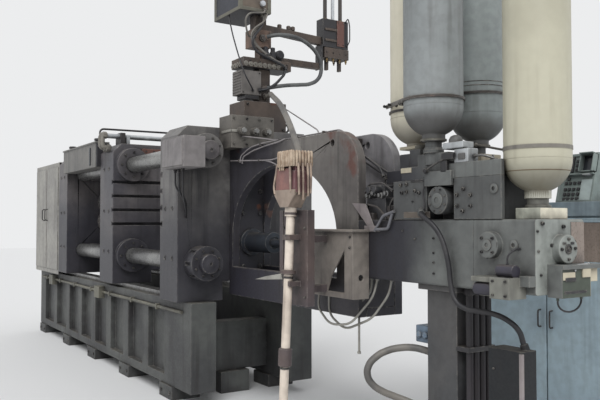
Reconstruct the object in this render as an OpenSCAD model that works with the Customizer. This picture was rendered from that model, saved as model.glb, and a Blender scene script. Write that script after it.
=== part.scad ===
// Cold chamber die casting machine. X runs from the closing cylinder to the shot end,
// X = 0 is the die face of the fixed platen, Y = 0 is the centre plane and Z = 0 the floor.

/* [Clamp] */
// Height of the platen centre
axis_z = 1730; // [1710:10:1800]
// Half width of the platens
platen_half_w = 700; // [690:10:760]
// Height of the platens above their centre
platen_half_h = 720; // [710:10:780]
// Thickness of the fixed platen
fixed_platen_t = 400; // [380:10:420]
// Thickness of the moving platen
moving_platen_t = 450; // [400:10:460]
// Thickness of the link housing
link_housing_t = 400; // [360:10:440]
// Gap between the open dies' mounting faces
die_space = 1350; // [1300:10:1400]
// Length of the toggle space
toggle_space = 1400; // [1390:5:1410]
// Diameter of the tie bars
tie_d = 165; // [150:5:180]
// Distance of the tie bars from the centre, across and up
tie_pitch = 490; // [470:5:500]
// Diameter of the tie bar nuts
tie_nut_d = 300; // [280:10:320]
// Length of the tie bar nuts
tie_nut_l = 170; // [140:10:200]
// Diameter of the bosses round the tie bars
boss_d = 360; // [340:10:380]
// How far the bosses stand out of the moving platen
boss_l = 60; // [40:5:80]
// Radial clearance of a bar in its bore
bar_fit = 1; // [0.5:0.5:2]
// Gap between the top tank and the tie bar beside it
tank_gap = 17.5; // [10:0.5:30]
// Gap between the nut cover and the nut beside it
nut_cover_gap = 5; // [3:1:8]
// Height of the nut cover's top over the tie bar's middle
nut_cover_rise = 85; // [70:5:100]
// Width of the T slots at their mouth
slot_w = 28; // [24:2:32]
// Width of the T slots at their foot
slot_foot_w = 50; // [46:2:56]
// Depth of the T slots
slot_depth = 50; // [40:5:60]
// Spacing of the T slots
slot_pitch = 150; // [140:5:160]
// Diameter of the closing cylinder
closing_d = 420; // [380:10:460]
// Length of the closing cylinder
closing_l = 1080; // [1000:10:1150]
// Diameter of the closing rod
closing_rod_d = 130; // [110:5:150]
// Diameter of the ejector cylinder
ejector_d = 180; // [160:10:200]
// Length of the ejector cylinder
ejector_l = 420; // [380:10:440]

/* [Toggle] */
// Height of the rear pivots from the centre
rear_pivot_h = 500; // [490:5:510]
// Height of the front pivots from the centre
front_pivot_h = 330; // [320:5:340]
// Distance of the pivots from their platens
pivot_off = 160; // [155:5:170]
// Length of the rear links
rear_link_l = 440; // [435:1:445]
// Angle of the rear links below level
rear_link_angle = 60; // [58:1:62]
// Diameter of the toggle pins
pin_d = 90; // [80:5:100]
// Radial clearance of a pin in its link
pin_fit = 0.5; // [0.2:0.1:1]
// Diameter of the link eyes
eye_d = 170; // [160:5:180]
// Thickness of one link plate
link_t = 80; // [70:5:90]
// Distance of the toggle rows from the centre plane
link_row = 220; // [215:1:224]

// Gap between neighbouring link plates
link_gap = 10; // [6:1:12]
// Diameter of the small links' pins
small_pin_d = 50; // [44:2:54]
// Diameter of the small links' eyes
small_eye_d = 100; // [94:2:106]
// Thickness of a small link
small_link_t = 60; // [54:2:64]
// Width of the crosshead
cross_w = 116; // [110:2:118]
// Height of the crosshead
cross_h = 420; // [400:10:440]
// Height of the crosshead's pins from the centre
cross_pin_h = 75; // [70:5:80]
// Place of the small link's pin on the rear link, along from the rear pivot
ear_x = 65; // [60:1:70]
// Place of the small link's pin on the rear link, below the rear pivot
ear_z = 200; // [190:5:210]
// Diameter of the crosshead's guide rods
guide_d = 50; // [44:2:56]
// Height of the guide rods from the centre
guide_h = 165; // [160:5:170]
// Length of the guide rods
guide_l = 900; // [850:10:950]

/* [Bed] */
// Height of the bed's top
bed_top = 900; // [880:10:940]
// Height of the feet under the bed
foot_h = 120; // [100:10:160]
// Half width of the bed
bed_half_w = 620; // [600:10:660]
// Width of one side beam
beam_w = 240; // [220:10:260]
// Thickness of the plates of the side beams
beam_plate = 40; // [30:5:50]
// Depth of the pockets between the beams' ribs
beam_pocket = 60; // [40:5:80]
// Length of a foot
foot_l = 300; // [260:10:340]
// How far a foot stands out at the beam's sides
foot_over = 20; // [10:5:30]
// Thickness of the members between the beams
member_t = 160; // [140:10:200]
// Height of the members between the beams
member_h = 460; // [420:10:500]
// How far the members lie above the beams' underside
member_lift = 80; // [60:5:100]
// Rear end of the bed
bed_rear = 4900; // [4860:10:4950]
// Front end of the bed
bed_front = 520; // [500:10:560]
// Height of the slide rails
rail_h = 40; // [30:5:50]
// Width of the slide rails
rail_w = 120; // [100:10:140]
// Distance of the slide rails from the centre plane
rail_y = 500; // [480:5:520]
// How far the slide rails reach behind the link housing
rail_over = 100; // [80:10:150]
// Gap between the slide rails and the fixed platen
rail_gap = 40; // [20:5:60]

/* [C frame] */
// Distance of the cheeks' outer faces from the centre plane
cheek_y = 195; // [190:5:200]
// Thickness of a cheek
cheek_t = 70; // [60:5:80]
// Far end of the cheeks
cheek_end = 2320; // [2300:10:2330]
// Top of the cheeks
cheek_top = 2250; // [2220:10:2280]
// Radius of the cheeks' top corner
cheek_corner = 270; // [240:10:300]
// Bottom of the cheeks
cheek_bottom = 950; // [920:10:980]
// Half length of the arch
arch_half_l = 800; // [780:10:820]
// Middle of the arch
arch_mid = 1265; // [1260:5:1280]
// Height where the arch springs
arch_spring = 1500; // [1470:10:1520]
// Rise of the arch
arch_rise = 560; // [530:10:580]
// Height of the arch's sill
arch_sill = 1200; // [1180:5:1210]
// Diameter of the lifting hole
lift_hole_d = 50; // [40:5:60]
// Thickness of the plates between the cheeks
web_t = 60; // [50:5:70]
// Thickness of the end plate that carries the shot block
end_plate_t = 120; // [100:10:140]

/* [Shot end] */
// Height of the shot cylinder's centre
shot_z = 1420; // [1415:5:1430]
// Width and height of the shot block
block_w = 390; // [370:5:400]
// Where the shot block meets its end head
seam_x = 3375; // [3350:5:3400]
// Far end of the shot block
block_end = 3800; // [3770:10:3850]
// Bevel along the block's edges
block_bevel = 10; // [5:1:15]
// Diameter of the gland at the front of the shot block
gland_d = 230; // [200:10:235]
// How far the gland stands out of the end plate
gland_l = 50; // [40:5:80]
// Diameter of the shot rod
shot_rod_d = 90; // [80:5:100]
// How far the shot rod reaches into its cylinder
rod_in = 100; // [80:5:120]
// Room behind the shot rod's end
rod_room = 5; // [2:1:20]
// Diameter of the coupling
coupling_d = 170; // [150:5:180]
// Length of the coupling
coupling_l = 160; // [140:10:180]
// Middle of the coupling
coupling_x = 1500; // [1450:10:1600]
// Diameter of the plunger rod
plunger_d = 70; // [60:5:80]
// Length of the plunger's tip
tip_l = 70; // [60:5:75]
// Outer diameter of the shot sleeve
sleeve_d = 180; // [170:5:190]
// Bore of the shot sleeve
sleeve_bore = 100; // [90:5:110]
// How far the sleeve stands out of the fixed platen
sleeve_out = 470; // [430:10:500]
// How far the sleeve reaches towards the moving die
sleeve_in = 120; // [100:10:150]
// Length of the pouring slot
pour_l = 160; // [140:5:180]
// Distance of the pouring slot from the sleeve's end
pour_lip = 90; // [80:5:110]
// Diameter of the round cap on the near side
side_cap_d = 145; // [130:5:160]
// How far the side cap stands out
side_cap_l = 40; // [30:5:50]
// Place of the side cap along the block
side_cap_x = 3514; // [3490:1:3540]
// Height of the side cap
side_cap_z = 1476; // [1460:1:1490]
// Diameter of the cap on the end face
end_cap_d = 150; // [130:5:170]
// How far the end cap stands out
end_cap_l = 50; // [40:5:60]
// Side of the square pillar under the block
pillar_w = 250; // [220:10:280]
// Middle of the pillar
pillar_x = 3050; // [3000:10:3080]
// Side of the pillar's end plates
pillar_plate_w = 330; // [310:10:350]
// Thickness of the pillar's end plates
pillar_plate_t = 35; // [25:5:45]
// Height of the low post
low_post_h = 914; // [890:1:940]
// Length of the low post
low_post_l = 225; // [200:5:235]
// Width of the low post
low_post_w = 126; // [110:2:130]
// Near end of the low post
low_post_x = 3430; // [3420:5:3450]
// Near side of the low post
low_post_y = -143; // [-150:1:-130]
// Place of the side valve along the block
side_valve_x = 3610; // [3600:5:3620]
// Length of the side valve
side_valve_l = 130; // [120:5:140]
// Depth of the side valve
side_valve_w = 130; // [110:5:140]
// Height of the side valve
side_valve_h = 110; // [100:5:120]
// Height of the side valve's underside
side_valve_z = 1205; // [1195:5:1225]
// Diameter of the side valve's solenoid
solenoid_d = 70; // [60:2:76]
// Width of the end valve's body
end_valve_w = 230; // [220:5:240]
// Depth of the end valve's body
end_valve_l = 90; // [80:5:95]
// Height of the end valve's underside
end_valve_z = 1214; // [1210:1:1220]
// Height of the end valve's top plate
end_valve_top = 1360; // [1355:1:1362]
// Thickness of the end valve's top plate
end_valve_t = 22; // [18:1:22]

/* [Manifold] */
// Height of the lower manifold blocks
lower_block_h = 240; // [230:5:250]
// Height of the upper manifold
upper_block_h = 85; // [75:5:95]
// Near end of the lower left block
left_block_x = 2690; // [2680:5:2700]
// Length of the lower left block
left_block_l = 310; // [300:5:320]
// Near end of the lower right block
right_block_x = 3225; // [3215:5:3235]
// Length of the lower right block
right_block_l = 355; // [340:5:360]
// Diameter of the valve drum
drum_d = 165; // [150:5:180]
// How far the valve drum stands out of the blocks
drum_out = 20; // [15:1:20]
// Diameter of the gas bottles
bottle_d = 357; // [340:1:360]
// Height of the three bottles' lowest point
bottle_z = 2110; // [2090:5:2130]
// Height of the end bottle's lowest point
end_bottle_z = 1756; // [1740:1:1770]
// Height of the bottles' tops
bottle_top = 3560; // [3400:10:3600]
// Diameter of the bottles' necks
neck_d = 100; // [90:5:110]
// Height of the boss under a bottle
boss_h = 30; // [20:5:40]
// Diameter of the boss under a bottle
bottle_boss_d = 140; // [130:5:150]
// Gap between the end bottle and the manifold
bottle_gap = 8; // [5:1:15]
// Height of the pedestal under the near bottle
pedestal_h = 70; // [60:5:80]
// Height of the clamp round the bottles
strap_z = 2325; // [2300:5:2340]
// Height of the clamp's bands
strap_h = 16; // [12:2:20]
// How much higher the far bottle's band sits
strap_step = 80; // [70:5:90]
// Thickness of the clamp's bands
strap_t = 10; // [8:1:12]

/* [Guards and tanks] */
// Thickness of cover sheets
sheet_t = 6; // [4:1:8]
// Length of the nut cover
nut_cover_l = 450; // [430:10:480]
// Height of the nut cover
nut_cover_h = 255; // [240:5:270]
// Width of the nut cover
nut_cover_w = 205; // [190:5:220]
// Thickness of the nut cover's lid
cover_lid_t = 12; // [8:1:16]
// How far the lid's edge lies in from the nut cover's
cover_lid_in = 14; // [10:1:20]
// Length of the top tank
tank_l = 1380; // [1300:10:1390]
// Height of the top tank
tank_h = 290; // [260:10:320]
// Width of the top tank
tank_w = 170; // [150:5:175]
// Thickness of the top tank's lid
tank_lid_t = 18; // [12:2:24]
// How far the lid stands out over the top tank's walls
tank_lid_over = 12; // [8:1:16]
// Length of the rear cover
rear_cover_l = 1280; // [1250:10:1295]
// Gap between the rear cover and what it covers
rear_cover_gap = 30; // [20:5:40]
// Diameter of the pipes along the top
top_pipe_d = 42; // [34:2:48]
// Length of the pipes along the top
top_pipe_l = 1100; // [1000:20:1200]
// Distance between the pipes along the top
top_pipe_pitch = 90; // [80:5:100]
// Length of the valve block over the C frame
platen_valves_l = 240; // [220:5:260]
// Width of the valve block over the C frame
platen_valves_w = 430; // [420:5:440]
// Distance between the valves on it
platen_valves_pitch = 125; // [115:5:130]

/* [Sprayer] */
// Place of the sprayer post along the machine
post_x = 200; // [190:5:210]
// Place of the sprayer post across the machine
post_y = 300; // [290:5:310]
// Side of the sprayer post
post_w = 120; // [110:5:140]
// Height of the pedestal under the sprayer post
sprayer_base_h = 280; // [260:10:300]
// Height of the arm on the post
arm_z = 3060; // [3050:5:3080]
// Thickness of the arm
arm_t = 90; // [80:5:100]
// Height of the gearbox over the arm
gearbox_lift = 120; // [110:5:130]
// Height of the gearbox
gearbox_h = 170; // [150:5:180]
// Height of the neck over the gearbox
neck_h = 140; // [130:5:150]
// Height of the box on top
top_box_h = 400; // [380:10:420]
// Width of the frame round the sprayer box's panels
box_frame = 35; // [28:1:40]
// How deep the sprayer box's panels lie
box_recess = 10; // [6:1:14]
// Reach of the boom
boom_reach = 790; // [780:10:800]
// Thickness of the boom's bars
boom_t = 60; // [50:5:70]
// Height of the ram's guide block
ram_guide_h = 290; // [280:5:300]
// Travel of the spray ram
ram_travel = 600; // [500:10:620]
// Gap between the ram's foot and its guide at rest
ram_gap = 5; // [4:1:8]
// Height of the ram's foot
ram_foot_h = 105; // [95:5:110]
// Diameter of the ram's guide rods
guide_rod_d = 40; // [36:2:44]
// Diameter of the ram's chrome rod
ram_rod_d = 36; // [32:2:40]
// Spacing of the ram's guide rods
guide_pitch = 190; // [180:5:200]

/* [Lance] */
// Place of the lance along the machine
lance_x = 2120; // [2100:5:2140]
// Place of the lance across the machine at the floor
lance_y = -686; // [-700:2:-680]
// How far the lance leans towards the machine
lance_lean = 2.6; // [2:0.1:3]
// Width of the lance's head
lance_head_w = 250; // [240:5:260]
// Depth of the lance's head
lance_head_d = 110; // [100:5:120]
// Height of the head's foot
lance_head_z = 1700; // [1680:5:1720]
// Height of the head without its copper tubes
lance_head_h = 240; // [220:5:250]
// Length of the copper tubes
lance_tube_l = 130; // [110:5:140]
// Diameter of the copper tubes
lance_tube_d = 20; // [18:1:22]
// Diameter of the lance pipe
lance_pipe_d = 60; // [50:2:66]
// Place of the channel behind the lance, across the machine
channel_y = -560; // [-565:1:-555]
// Width of the channel behind the lance
channel_w = 310; // [290:5:330]
// Top of the channel behind the lance
channel_top = 1680; // [1660:5:1690]
// Height of the channel behind the lance
channel_h = 640; // [600:10:680]
// Depth of the channel's flanges
channel_d = 60; // [50:5:70]

/* [Side bracket] */
// Rear end of the bracket
bracket_x = 1870; // [1860:5:1880]
// Length of the bracket
bracket_l = 570; // [560:5:580]
// Top of the bracket
bracket_top = 1550; // [1530:5:1570]
// Height of the bracket
bracket_h = 460; // [440:10:470]
// Depth of the bracket from the cheek
bracket_w = 135; // [120:5:150]
// Thickness of the bracket's plates
bracket_t = 15; // [10:1:20]
// Width of the bracket's right post
bracket_post = 98; // [90:2:110]
// Height of the bracket's bottom rail
bracket_rail = 35; // [25:5:45]
// How far the bracket's top plate stands over
bracket_over = 20; // [10:5:30]
// Diameter of the hole in the bracket's right side
bracket_hole_d = 40; // [30:2:50]

/* [Hoses] */
// Diameter of the hose to the lance
lance_hose_d = 45; // [40:1:48]
// Diameter of the looped hose at the pillar
loop_hose_d = 45; // [40:1:48]
// Diameter of the cable down to the low post
post_hose_d = 30; // [26:1:32]
// Diameter of the big hose loop on the sprayer
boom_hose_d = 38; // [34:1:42]
// Diameter of the grey hose on the sprayer
drive_hose_d = 26; // [22:1:28]
// Diameter of the wire under the end valve
valve_hose_d = 10; // [8:1:12]
// How far a hose fitting stands out
fitting_l = 30; // [28:1:30]

/* [Controls] */
// Near end of the control cabinet
cabinet_x = 2050; // [2020:10:2080]
// Length of the control cabinet
cabinet_l = 1560; // [1500:10:1600]
// Distance of the cabinet from the centre plane
cabinet_y = 1100; // [1080:10:1120]
// Depth of the cabinet
cabinet_w = 500; // [450:10:550]
// Height of the cabinet
cabinet_h = 1740; // [1720:5:1760]
// Height of the cabinet's plinth
plinth_h = 100; // [80:10:120]
// How far the plinth lies in from the cabinet's walls
plinth_in = 40; // [25:5:60]
// Thickness of the cabinet's roof
roof_t = 100; // [90:5:110]
// Thickness of the cabinet's doors
door_t = 20; // [15:1:24]
// Gap between the cabinet's doors
door_gap = 12; // [8:1:16]
// Near end of the keypad housing
keypad_x = 2900; // [2880:5:2920]
// Length of the keypad housing
keypad_l = 290; // [270:5:310]
// Depth of the keypad housing
keypad_w = 280; // [260:10:300]
// Height of the keypad housing
keypad_h = 340; // [320:5:360]
// Width of the rim round the keypad's plate
keypad_rim = 20; // [15:1:25]
// How deep the keypad's plate lies
keypad_recess = 8; // [5:1:10]

/* [Hidden] */
$fn = 64;

// Colours as they show
bed_c = [0.30, 0.31, 0.31];
greasy_c = [0.25, 0.25, 0.27];
block_c = [0.44, 0.47, 0.43];
cream_c = [0.84, 0.82, 0.69];
grey_c = [0.49, 0.51, 0.50];
pillar_c = [0.47, 0.45, 0.40];
steel_c = [0.62, 0.63, 0.63];
rust_c = [0.42, 0.39, 0.35];
copper_c = [0.74, 0.56, 0.44];
cabinet_c = [0.55, 0.60, 0.60];
black_c = [0.15, 0.15, 0.16];

// Stations along the machine
moving_face = -die_space;
moving_rear = moving_face - moving_platen_t;
housing_face = moving_rear - toggle_space;
housing_rear = housing_face - link_housing_t;
platen_top = axis_z + platen_half_h;
rail_top = bed_top + rail_h;
block_half = block_w / 2;
block_top = shot_z + block_half;
block_bottom = shot_z - block_half;
tie_rear = housing_rear - tie_nut_l - 60;
tie_front = fixed_platen_t + tie_nut_l + 60;
bottle_r = bottle_d / 2;
upper_z = block_top + lower_block_h;
upper_top = upper_z + upper_block_h;

// Places of the bottles along and across, and of the feet
near_bottle = [3030, -165];
far_bottle = [2940, 305];
left_bottle = [2590, 100];
end_bottle = [3660, 0];
foot_places = [-4700, -3420, -2300, -1150, 0];

// Levels of the sprayer and the middle of its ram
sprayer_top = platen_top + sprayer_base_h;
gearbox_z = arm_z + arm_t + gearbox_lift;
neck_z = gearbox_z + gearbox_h;
top_box_z = neck_z + neck_h;
ram_y = post_y + boom_reach;
ram_z = gearbox_z + 110;
rod_l = ram_gap + ram_guide_h + ram_travel + 30;

// Routes of the hoses and cables
lance_route = [
    [290, 250, 2800], [350, 250, 2800], [440, 215, 2795], [540, 150, 2775], [700, 70, 2735],
    [880, -20, 2685], [1070, -110, 2630], [1260, -190, 2565], [1450, -270, 2485], [1630, -340, 2385],
    [1800, -405, 2275], [1940, -460, 2175], [2040, -495, 2090], [2095, -515, 2020], [2120, -525, 1960]
];
loop_route = [
    [2895, -60, 790], [2840, -75, 800], [2780, -115, 810], [2720, -170, 805], [2670, -235, 785],
    [2635, -300, 745], [2620, -345, 690], [2620, -350, 630], [2635, -320, 575], [2665, -270, 535],
    [2705, -210, 505], [2750, -155, 480], [2800, -110, 455], [2850, -75, 430], [2895, -50, 410]
];
post_route = [
    [2985, -225, 1650], [3015, -250, 1640], [3060, -260, 1620], [3125, -250, 1570], [3165, -235, 1505],
    [3195, -230, 1430], [3215, -225, 1340], [3230, -225, 1240], [3265, -220, 1150], [3325, -205, 1115],
    [3400, -175, 1105], [3475, -140, 1095], [3540, -105, 1065], [3590, -80, 1015], [3610, -65, 944]
];
boom_route = [
    [310, 250, 3370], [345, 275, 3375], [375, 320, 3382], [390, 385, 3388], [390, 480, 3390],
    [390, 590, 3368], [385, 690, 3325], [380, 770, 3262], [375, 820, 3175], [375, 825, 3080],
    [375, 785, 3005], [375, 700, 2955], [375, 580, 2932], [370, 470, 2918], [350, 350, 2898],
    [290, 262, 2882]
];
drive_route = [
    [300, 205, 3550], [300, 205, 3520], [308, 196, 3485], [338, 160, 3440], [378, 110, 3390],
    [402, 62, 3335], [406, 38, 3280], [406, 46, 3235], [406, 80, 3195], [406, 135, 3165],
    [405, 195, 3145], [405, 260, 3125], [402, 325, 3105], [385, 380, 3095], [350, 415, 3095]
];
valve_route = [
    [3850, -90, 1200], [3850, -90, 1188], [3850, -84, 1174], [3850, -72, 1161], [3850, -56, 1151],
    [3850, -38, 1144], [3850, -17, 1140], [3850, 4, 1138], [3850, 25, 1140], [3850, 46, 1144],
    [3850, 64, 1151], [3850, 80, 1161], [3850, 92, 1174], [3850, 98, 1188], [3850, 98, 1200]
];

// A bar along X with its low end at x
module bar_x(x, l, d, y = 0, z = 0) {
    translate([x, y, z]) rotate([0, 90, 0]) cylinder(d = d, h = l);
}

// A bar along Y with its low end at y
module bar_y(y, l, d, x = 0, z = 0) {
    translate([x, y, z]) rotate([-90, 0, 0]) cylinder(d = d, h = l);
}

// Its children at each of the four tie bars
module at_tie_bars() {
    for (s = [-1, 1], t = [-1, 1])
        translate([0, s * tie_pitch, axis_z + t * tie_pitch]) children();
}

// A round rod between two points
module rod(a, b, d) {
    v = b - a;
    translate(a) rotate([0, acos(v[2] / norm(v)), atan2(v[1], v[0])]) cylinder(d = d, h = norm(v));
}

// The fitting at one end of a hose's route, reaching into what carries it
module fitting(route, last, d) {
    n = len(route) - 1;
    p = last ? route[n] : route[0];
    q = last ? route[n - 1] : route[1];
    rod(p, p + (p - q) / norm(p - q) * (fitting_l + 25), d * 1.5);
}

// Side directions along a hose, each turned as little as it can from the one before
function sides(dirs, i, w) = i == len(dirs) ? [] :
    let(v = w - (w * dirs[i]) * dirs[i], u = v / norm(v)) concat([u], sides(dirs, i + 1, u));

// A hose of diameter d swept along its route
module hose(route, d) {
    n = 8;
    last = len(route) - 1;
    dirs = [for (i = [0:last]) let(v = route[min(i + 1, last)] - route[max(i - 1, 0)]) v / norm(v)];
    side = sides(dirs, 0, abs(dirs[0][2]) < 0.9 ? [0, 0, 1] : [1, 0, 0]);
    polyhedron(
        [for (i = [0:last], k = [0:n - 1]) route[i]
            + d / 2 * (cos(360 * k / n) * side[i] + sin(360 * k / n) * cross(dirs[i], side[i]))],
        concat(
            [[for (k = [0:n - 1]) k]],
            [for (i = [0:last - 1], k = [0:n - 1]) let(a = i * n + k, b = i * n + (k + 1) % n) [a, a + n, b + n]],
            [for (i = [0:last - 1], k = [0:n - 1]) let(a = i * n + k, b = i * n + (k + 1) % n) [a, b + n, b]],
            [[for (k = [n - 1:-1:0]) last * n + k]]
        )
    );
}

// A block from one corner to the other
module block(from, to) {
    translate(from) cube(to - from);
}

// The outline of a platen seen along X, with cut corners and its feet on height z
module platen_outline(z) {
    cut = 90;
    foot_in = 260;
    foot_z = axis_z - platen_half_h + 60;
    polygon([
        [-platen_half_w, z], [-foot_in, z], [-foot_in, foot_z], [foot_in, foot_z], [foot_in, z],
        [platen_half_w, z], [platen_half_w, platen_top - cut], [platen_half_w - cut, platen_top],
        [cut - platen_half_w, platen_top], [-platen_half_w, platen_top - cut]
    ]);
}

// A platen from x over its thickness t, with its feet on height z
module platen_body(x, t, z) {
    translate([x, 0, 0]) rotate([90, 0, 90]) linear_extrude(t) platen_outline(z);
}

// The T slots of a die face at x, cut towards the side s
module t_slots(x, s) {
    for (i = [-1.5:1:1.5]) {
        z = axis_z + 75 + i * slot_pitch;
        mouth = s > 0 ? [x - 1, x + slot_depth] : [x - slot_depth, x + 1];
        foot = s > 0 ? [x + slot_depth / 2, x + slot_depth] : [x - slot_depth, x - slot_depth / 2];
        block([mouth[0], -platen_half_w - 1, z - slot_w / 2], [mouth[1], platen_half_w + 1, z + slot_w / 2]);
        block([foot[0], -platen_half_w - 1, z - slot_foot_w / 2],
            [foot[1], platen_half_w + 1, z + slot_foot_w / 2]);
    }
}

// The two side beams, with pockets between their ribs
module bed_beams() {
    color(bed_c) for (s = [-1, 1]) difference() {
        block([-bed_rear, s > 0 ? bed_half_w - beam_w : -bed_half_w, foot_h],
            [bed_front, s > 0 ? bed_half_w : beam_w - bed_half_w, bed_top]);
        for (i = [0:len(foot_places) - 2], k = [0, 1]) {
            bay = (foot_places[i + 1] - foot_places[i]) / 2;
            x0 = foot_places[i] + k * bay + 2 * beam_plate;
            y = s > 0 ? bed_half_w - beam_pocket : -bed_half_w - 1;
            block([x0, y, foot_h + 2 * beam_plate],
                [x0 + bay - 4 * beam_plate, y + beam_pocket + 1, bed_top - 3 * beam_plate]);
        }
    }
}

// The members between the beams
module bed_cross_members() {
    inner = bed_half_w - beam_w;
    z = foot_h + member_lift;
    color(bed_c) for (x = foot_places)
        block([x - member_t / 2, -inner, z], [x + member_t / 2, inner, z + member_h]);
}

// The feet under the beams, and one in the middle under the fixed platen
module bed_feet() {
    half_w = beam_w / 2 + foot_over;
    color(bed_c) {
        for (s = [-1, 1], x = foot_places) translate([x, s * (bed_half_w - beam_w / 2), 0])
            block([-foot_l / 2, -half_w, 0], [foot_l / 2, half_w, foot_h]);
        block([-foot_l / 2, -foot_l / 2, 0], [foot_l / 2, foot_l / 2, foot_h + member_lift]);
    }
}

// The hard rails that the moving platen and the link housing slide on
module slide_rails() {
    color(steel_c) for (s = [-1, 1])
        block([housing_rear - rail_over, s * rail_y - rail_w / 2, bed_top],
            [-rail_gap, s * rail_y + rail_w / 2, rail_top]);
}

// The fixed platen with its tie bar bores, shot hole and T slots
module fixed_platen() {
    color(greasy_c) difference() {
        platen_body(0, fixed_platen_t, bed_top);
        at_tie_bars() bar_x(-1, fixed_platen_t + 2, tie_d + 2 * bar_fit);
        bar_x(-1, fixed_platen_t + 2, sleeve_d + 2 * bar_fit, 0, shot_z);
        t_slots(0, 1);
    }
}

// The moving platen with bosses round the tie bars and lugs for the toggles
module moving_platen() {
    color(greasy_c) difference() {
        union() {
            platen_body(moving_rear, moving_platen_t, rail_top);
            at_tie_bars() bar_x(moving_face - 1, boss_l + 1, boss_d);
            for (row = [-1, 1], t = [-1, 1])
                pivot_lug(moving_rear, -1, row * link_row - link_t, 2 * link_t, t * front_pivot_h);
        }
        at_tie_bars() bar_x(moving_rear - 1, moving_platen_t + boss_l + 2, tie_d + 2 * bar_fit);
        t_slots(moving_face, -1);
    }
}

// A lug on a platen's face at x towards side s, at y with width w, for a pin at height h above the centre
module pivot_lug(x, s, y, w, h) {
    px = x + s * pivot_off;
    pz = axis_z + h;
    difference() {
        union() {
            bar_y(y, w, eye_d, px, pz);
            block([min(x - s, px), y, pz - eye_d / 2], [max(x - s, px), y + w, pz + eye_d / 2]);
        }
        bar_y(y - 1, w + 2, pin_d + 2 * pin_fit, px, pz);
    }
}

// The rear platen that carries the closing cylinder
module link_housing() {
    color(greasy_c) difference() {
        union() {
            platen_body(housing_rear, link_housing_t, rail_top);
            for (row = [-1, 1], t = [-1, 1], e = [-1, 1])
                pivot_lug(housing_face, 1, row * link_row + e * fork_y - link_t / 2, link_t, t * rear_pivot_h);
        }
        at_tie_bars() bar_x(housing_rear - 1, link_housing_t + 2, tie_d + 2 * bar_fit);
        bar_x(housing_rear - 1, link_housing_t + 2, closing_rod_d + 60, 0, axis_z);
    }
}

// The four tie bars
module tie_bars() {
    color(steel_c) at_tie_bars() union() {
        bar_x(tie_rear + 20, tie_front - tie_rear - 40, tie_d);
        bar_x(tie_rear, tie_front - tie_rear, tie_d - 30);
    }
}

// Slotted nuts at both ends of the tie bars
module tie_bar_nuts() {
    color(greasy_c) at_tie_bars() for (x = [housing_rear - tie_nut_l, fixed_platen_t]) difference() {
        bar_x(x, tie_nut_l, tie_nut_d);
        bar_x(x - 1, tie_nut_l + 2, tie_d + 2 * bar_fit);
        for (a = [0:45:315]) rotate([a, 0, 0])
            block([x + 30, tie_nut_d / 2 - 20, -15], [x + tie_nut_l - 30, tie_nut_d, 15]);
    }
}

// The closed box beside the upper near nut, on the fixed platen's edge, with its lid to the operator
module nut_cover() {
    x = [fixed_platen_t, fixed_platen_t + nut_cover_l];
    y = -tie_pitch - tie_nut_d / 2 - nut_cover_gap;
    z1 = axis_z + tie_pitch + nut_cover_rise;
    z0 = z1 - nut_cover_h;
    lid_y = y - nut_cover_w + cover_lid_t;
    color(grey_c) {
        block([x[0], lid_y, z0], [x[1], y, z1]);
        block([x[0] + cover_lid_in, y - nut_cover_w, z0 + cover_lid_in],
            [x[1] - cover_lid_in, lid_y + 1, z1 - cover_lid_in]);
    }
}

// Places of the toggle's pivots along and above the centre, and of the crosshead's
fork_y = link_t * 1.5 + link_gap;
small_y = cross_w / 2 + small_link_t / 2 + 4;
rear_pivot = [housing_face + pivot_off, rear_pivot_h];
knee = rear_pivot + rear_link_l * [cos(rear_link_angle), -sin(rear_link_angle)];
front_pivot = [moving_rear - pivot_off, front_pivot_h];
cross_pivot = [rear_pivot[0], cross_pin_h];
ear_pivot = rear_pivot + [ear_x, -ear_z];

// The outline of a link of length l with round eyes, and a small eye at each place in ears
module link_outline(l, eye, hole, ears = []) {
    difference() {
        union() {
            for (x = [0, l]) translate([x, 0]) circle(d = eye);
            translate([0, -eye * 0.36]) square([l, eye * 0.72]);
            for (e = ears) translate(e) circle(d = small_eye_d);
        }
        for (x = [0, l]) translate([x, 0]) circle(d = hole + 2 * pin_fit);
        for (e = ears) translate(e) circle(d = small_pin_d + 2 * pin_fit);
    }
}

// Its outline as a flat link from pivot a towards b, each [along, up], in the plane y with side t
module link(a, b, y, th, t) {
    d = b - a;
    translate([a[0], y + th / 2, axis_z + t * a[1]]) rotate([90, -t * atan2(d[1], d[0]), 0])
        linear_extrude(th) children();
}

// The links from the link housing to the knees, one between each pair of lugs
module rear_links() {
    way = (knee - rear_pivot) / rear_link_l;
    ear = ear_pivot - rear_pivot;
    color(grey_c) for (row = [-1, 1], t = [-1, 1])
        link(rear_pivot, knee, row * link_row, 2 * link_t, t)
            link_outline(rear_link_l, eye_d, pin_d, [[ear * way, t * (ear * [-way[1], way[0]])]]);
}

// The forked links from the knees to the moving platen
module front_links() {
    color(grey_c) for (row = [-1, 1], t = [-1, 1], e = [-1, 1])
        link(knee, front_pivot, row * link_row + e * fork_y, link_t, t)
            link_outline(norm(front_pivot - knee), eye_d, pin_d);
}

// The pins of the toggle, each through its fork
module toggle_pins() {
    l = 2 * fork_y + link_t + 10;
    cross_l = 2 * small_y + small_link_t + 10;
    inner = small_y - small_link_t / 2 - 3;
    outer = link_row + link_t;
    color(steel_c) for (t = [-1, 1]) {
        for (row = [-1, 1]) {
            for (p = [rear_pivot, knee, front_pivot])
                bar_y(row * link_row - l / 2, l, pin_d, p[0], axis_z + t * p[1]);
            bar_y(row > 0 ? inner : -outer, outer - inner, small_pin_d, ear_pivot[0], axis_z + t * ear_pivot[1]);
        }
        bar_y(-cross_l / 2, cross_l, small_pin_d, cross_pivot[0], axis_z + t * cross_pivot[1]);
    }
}

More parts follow.
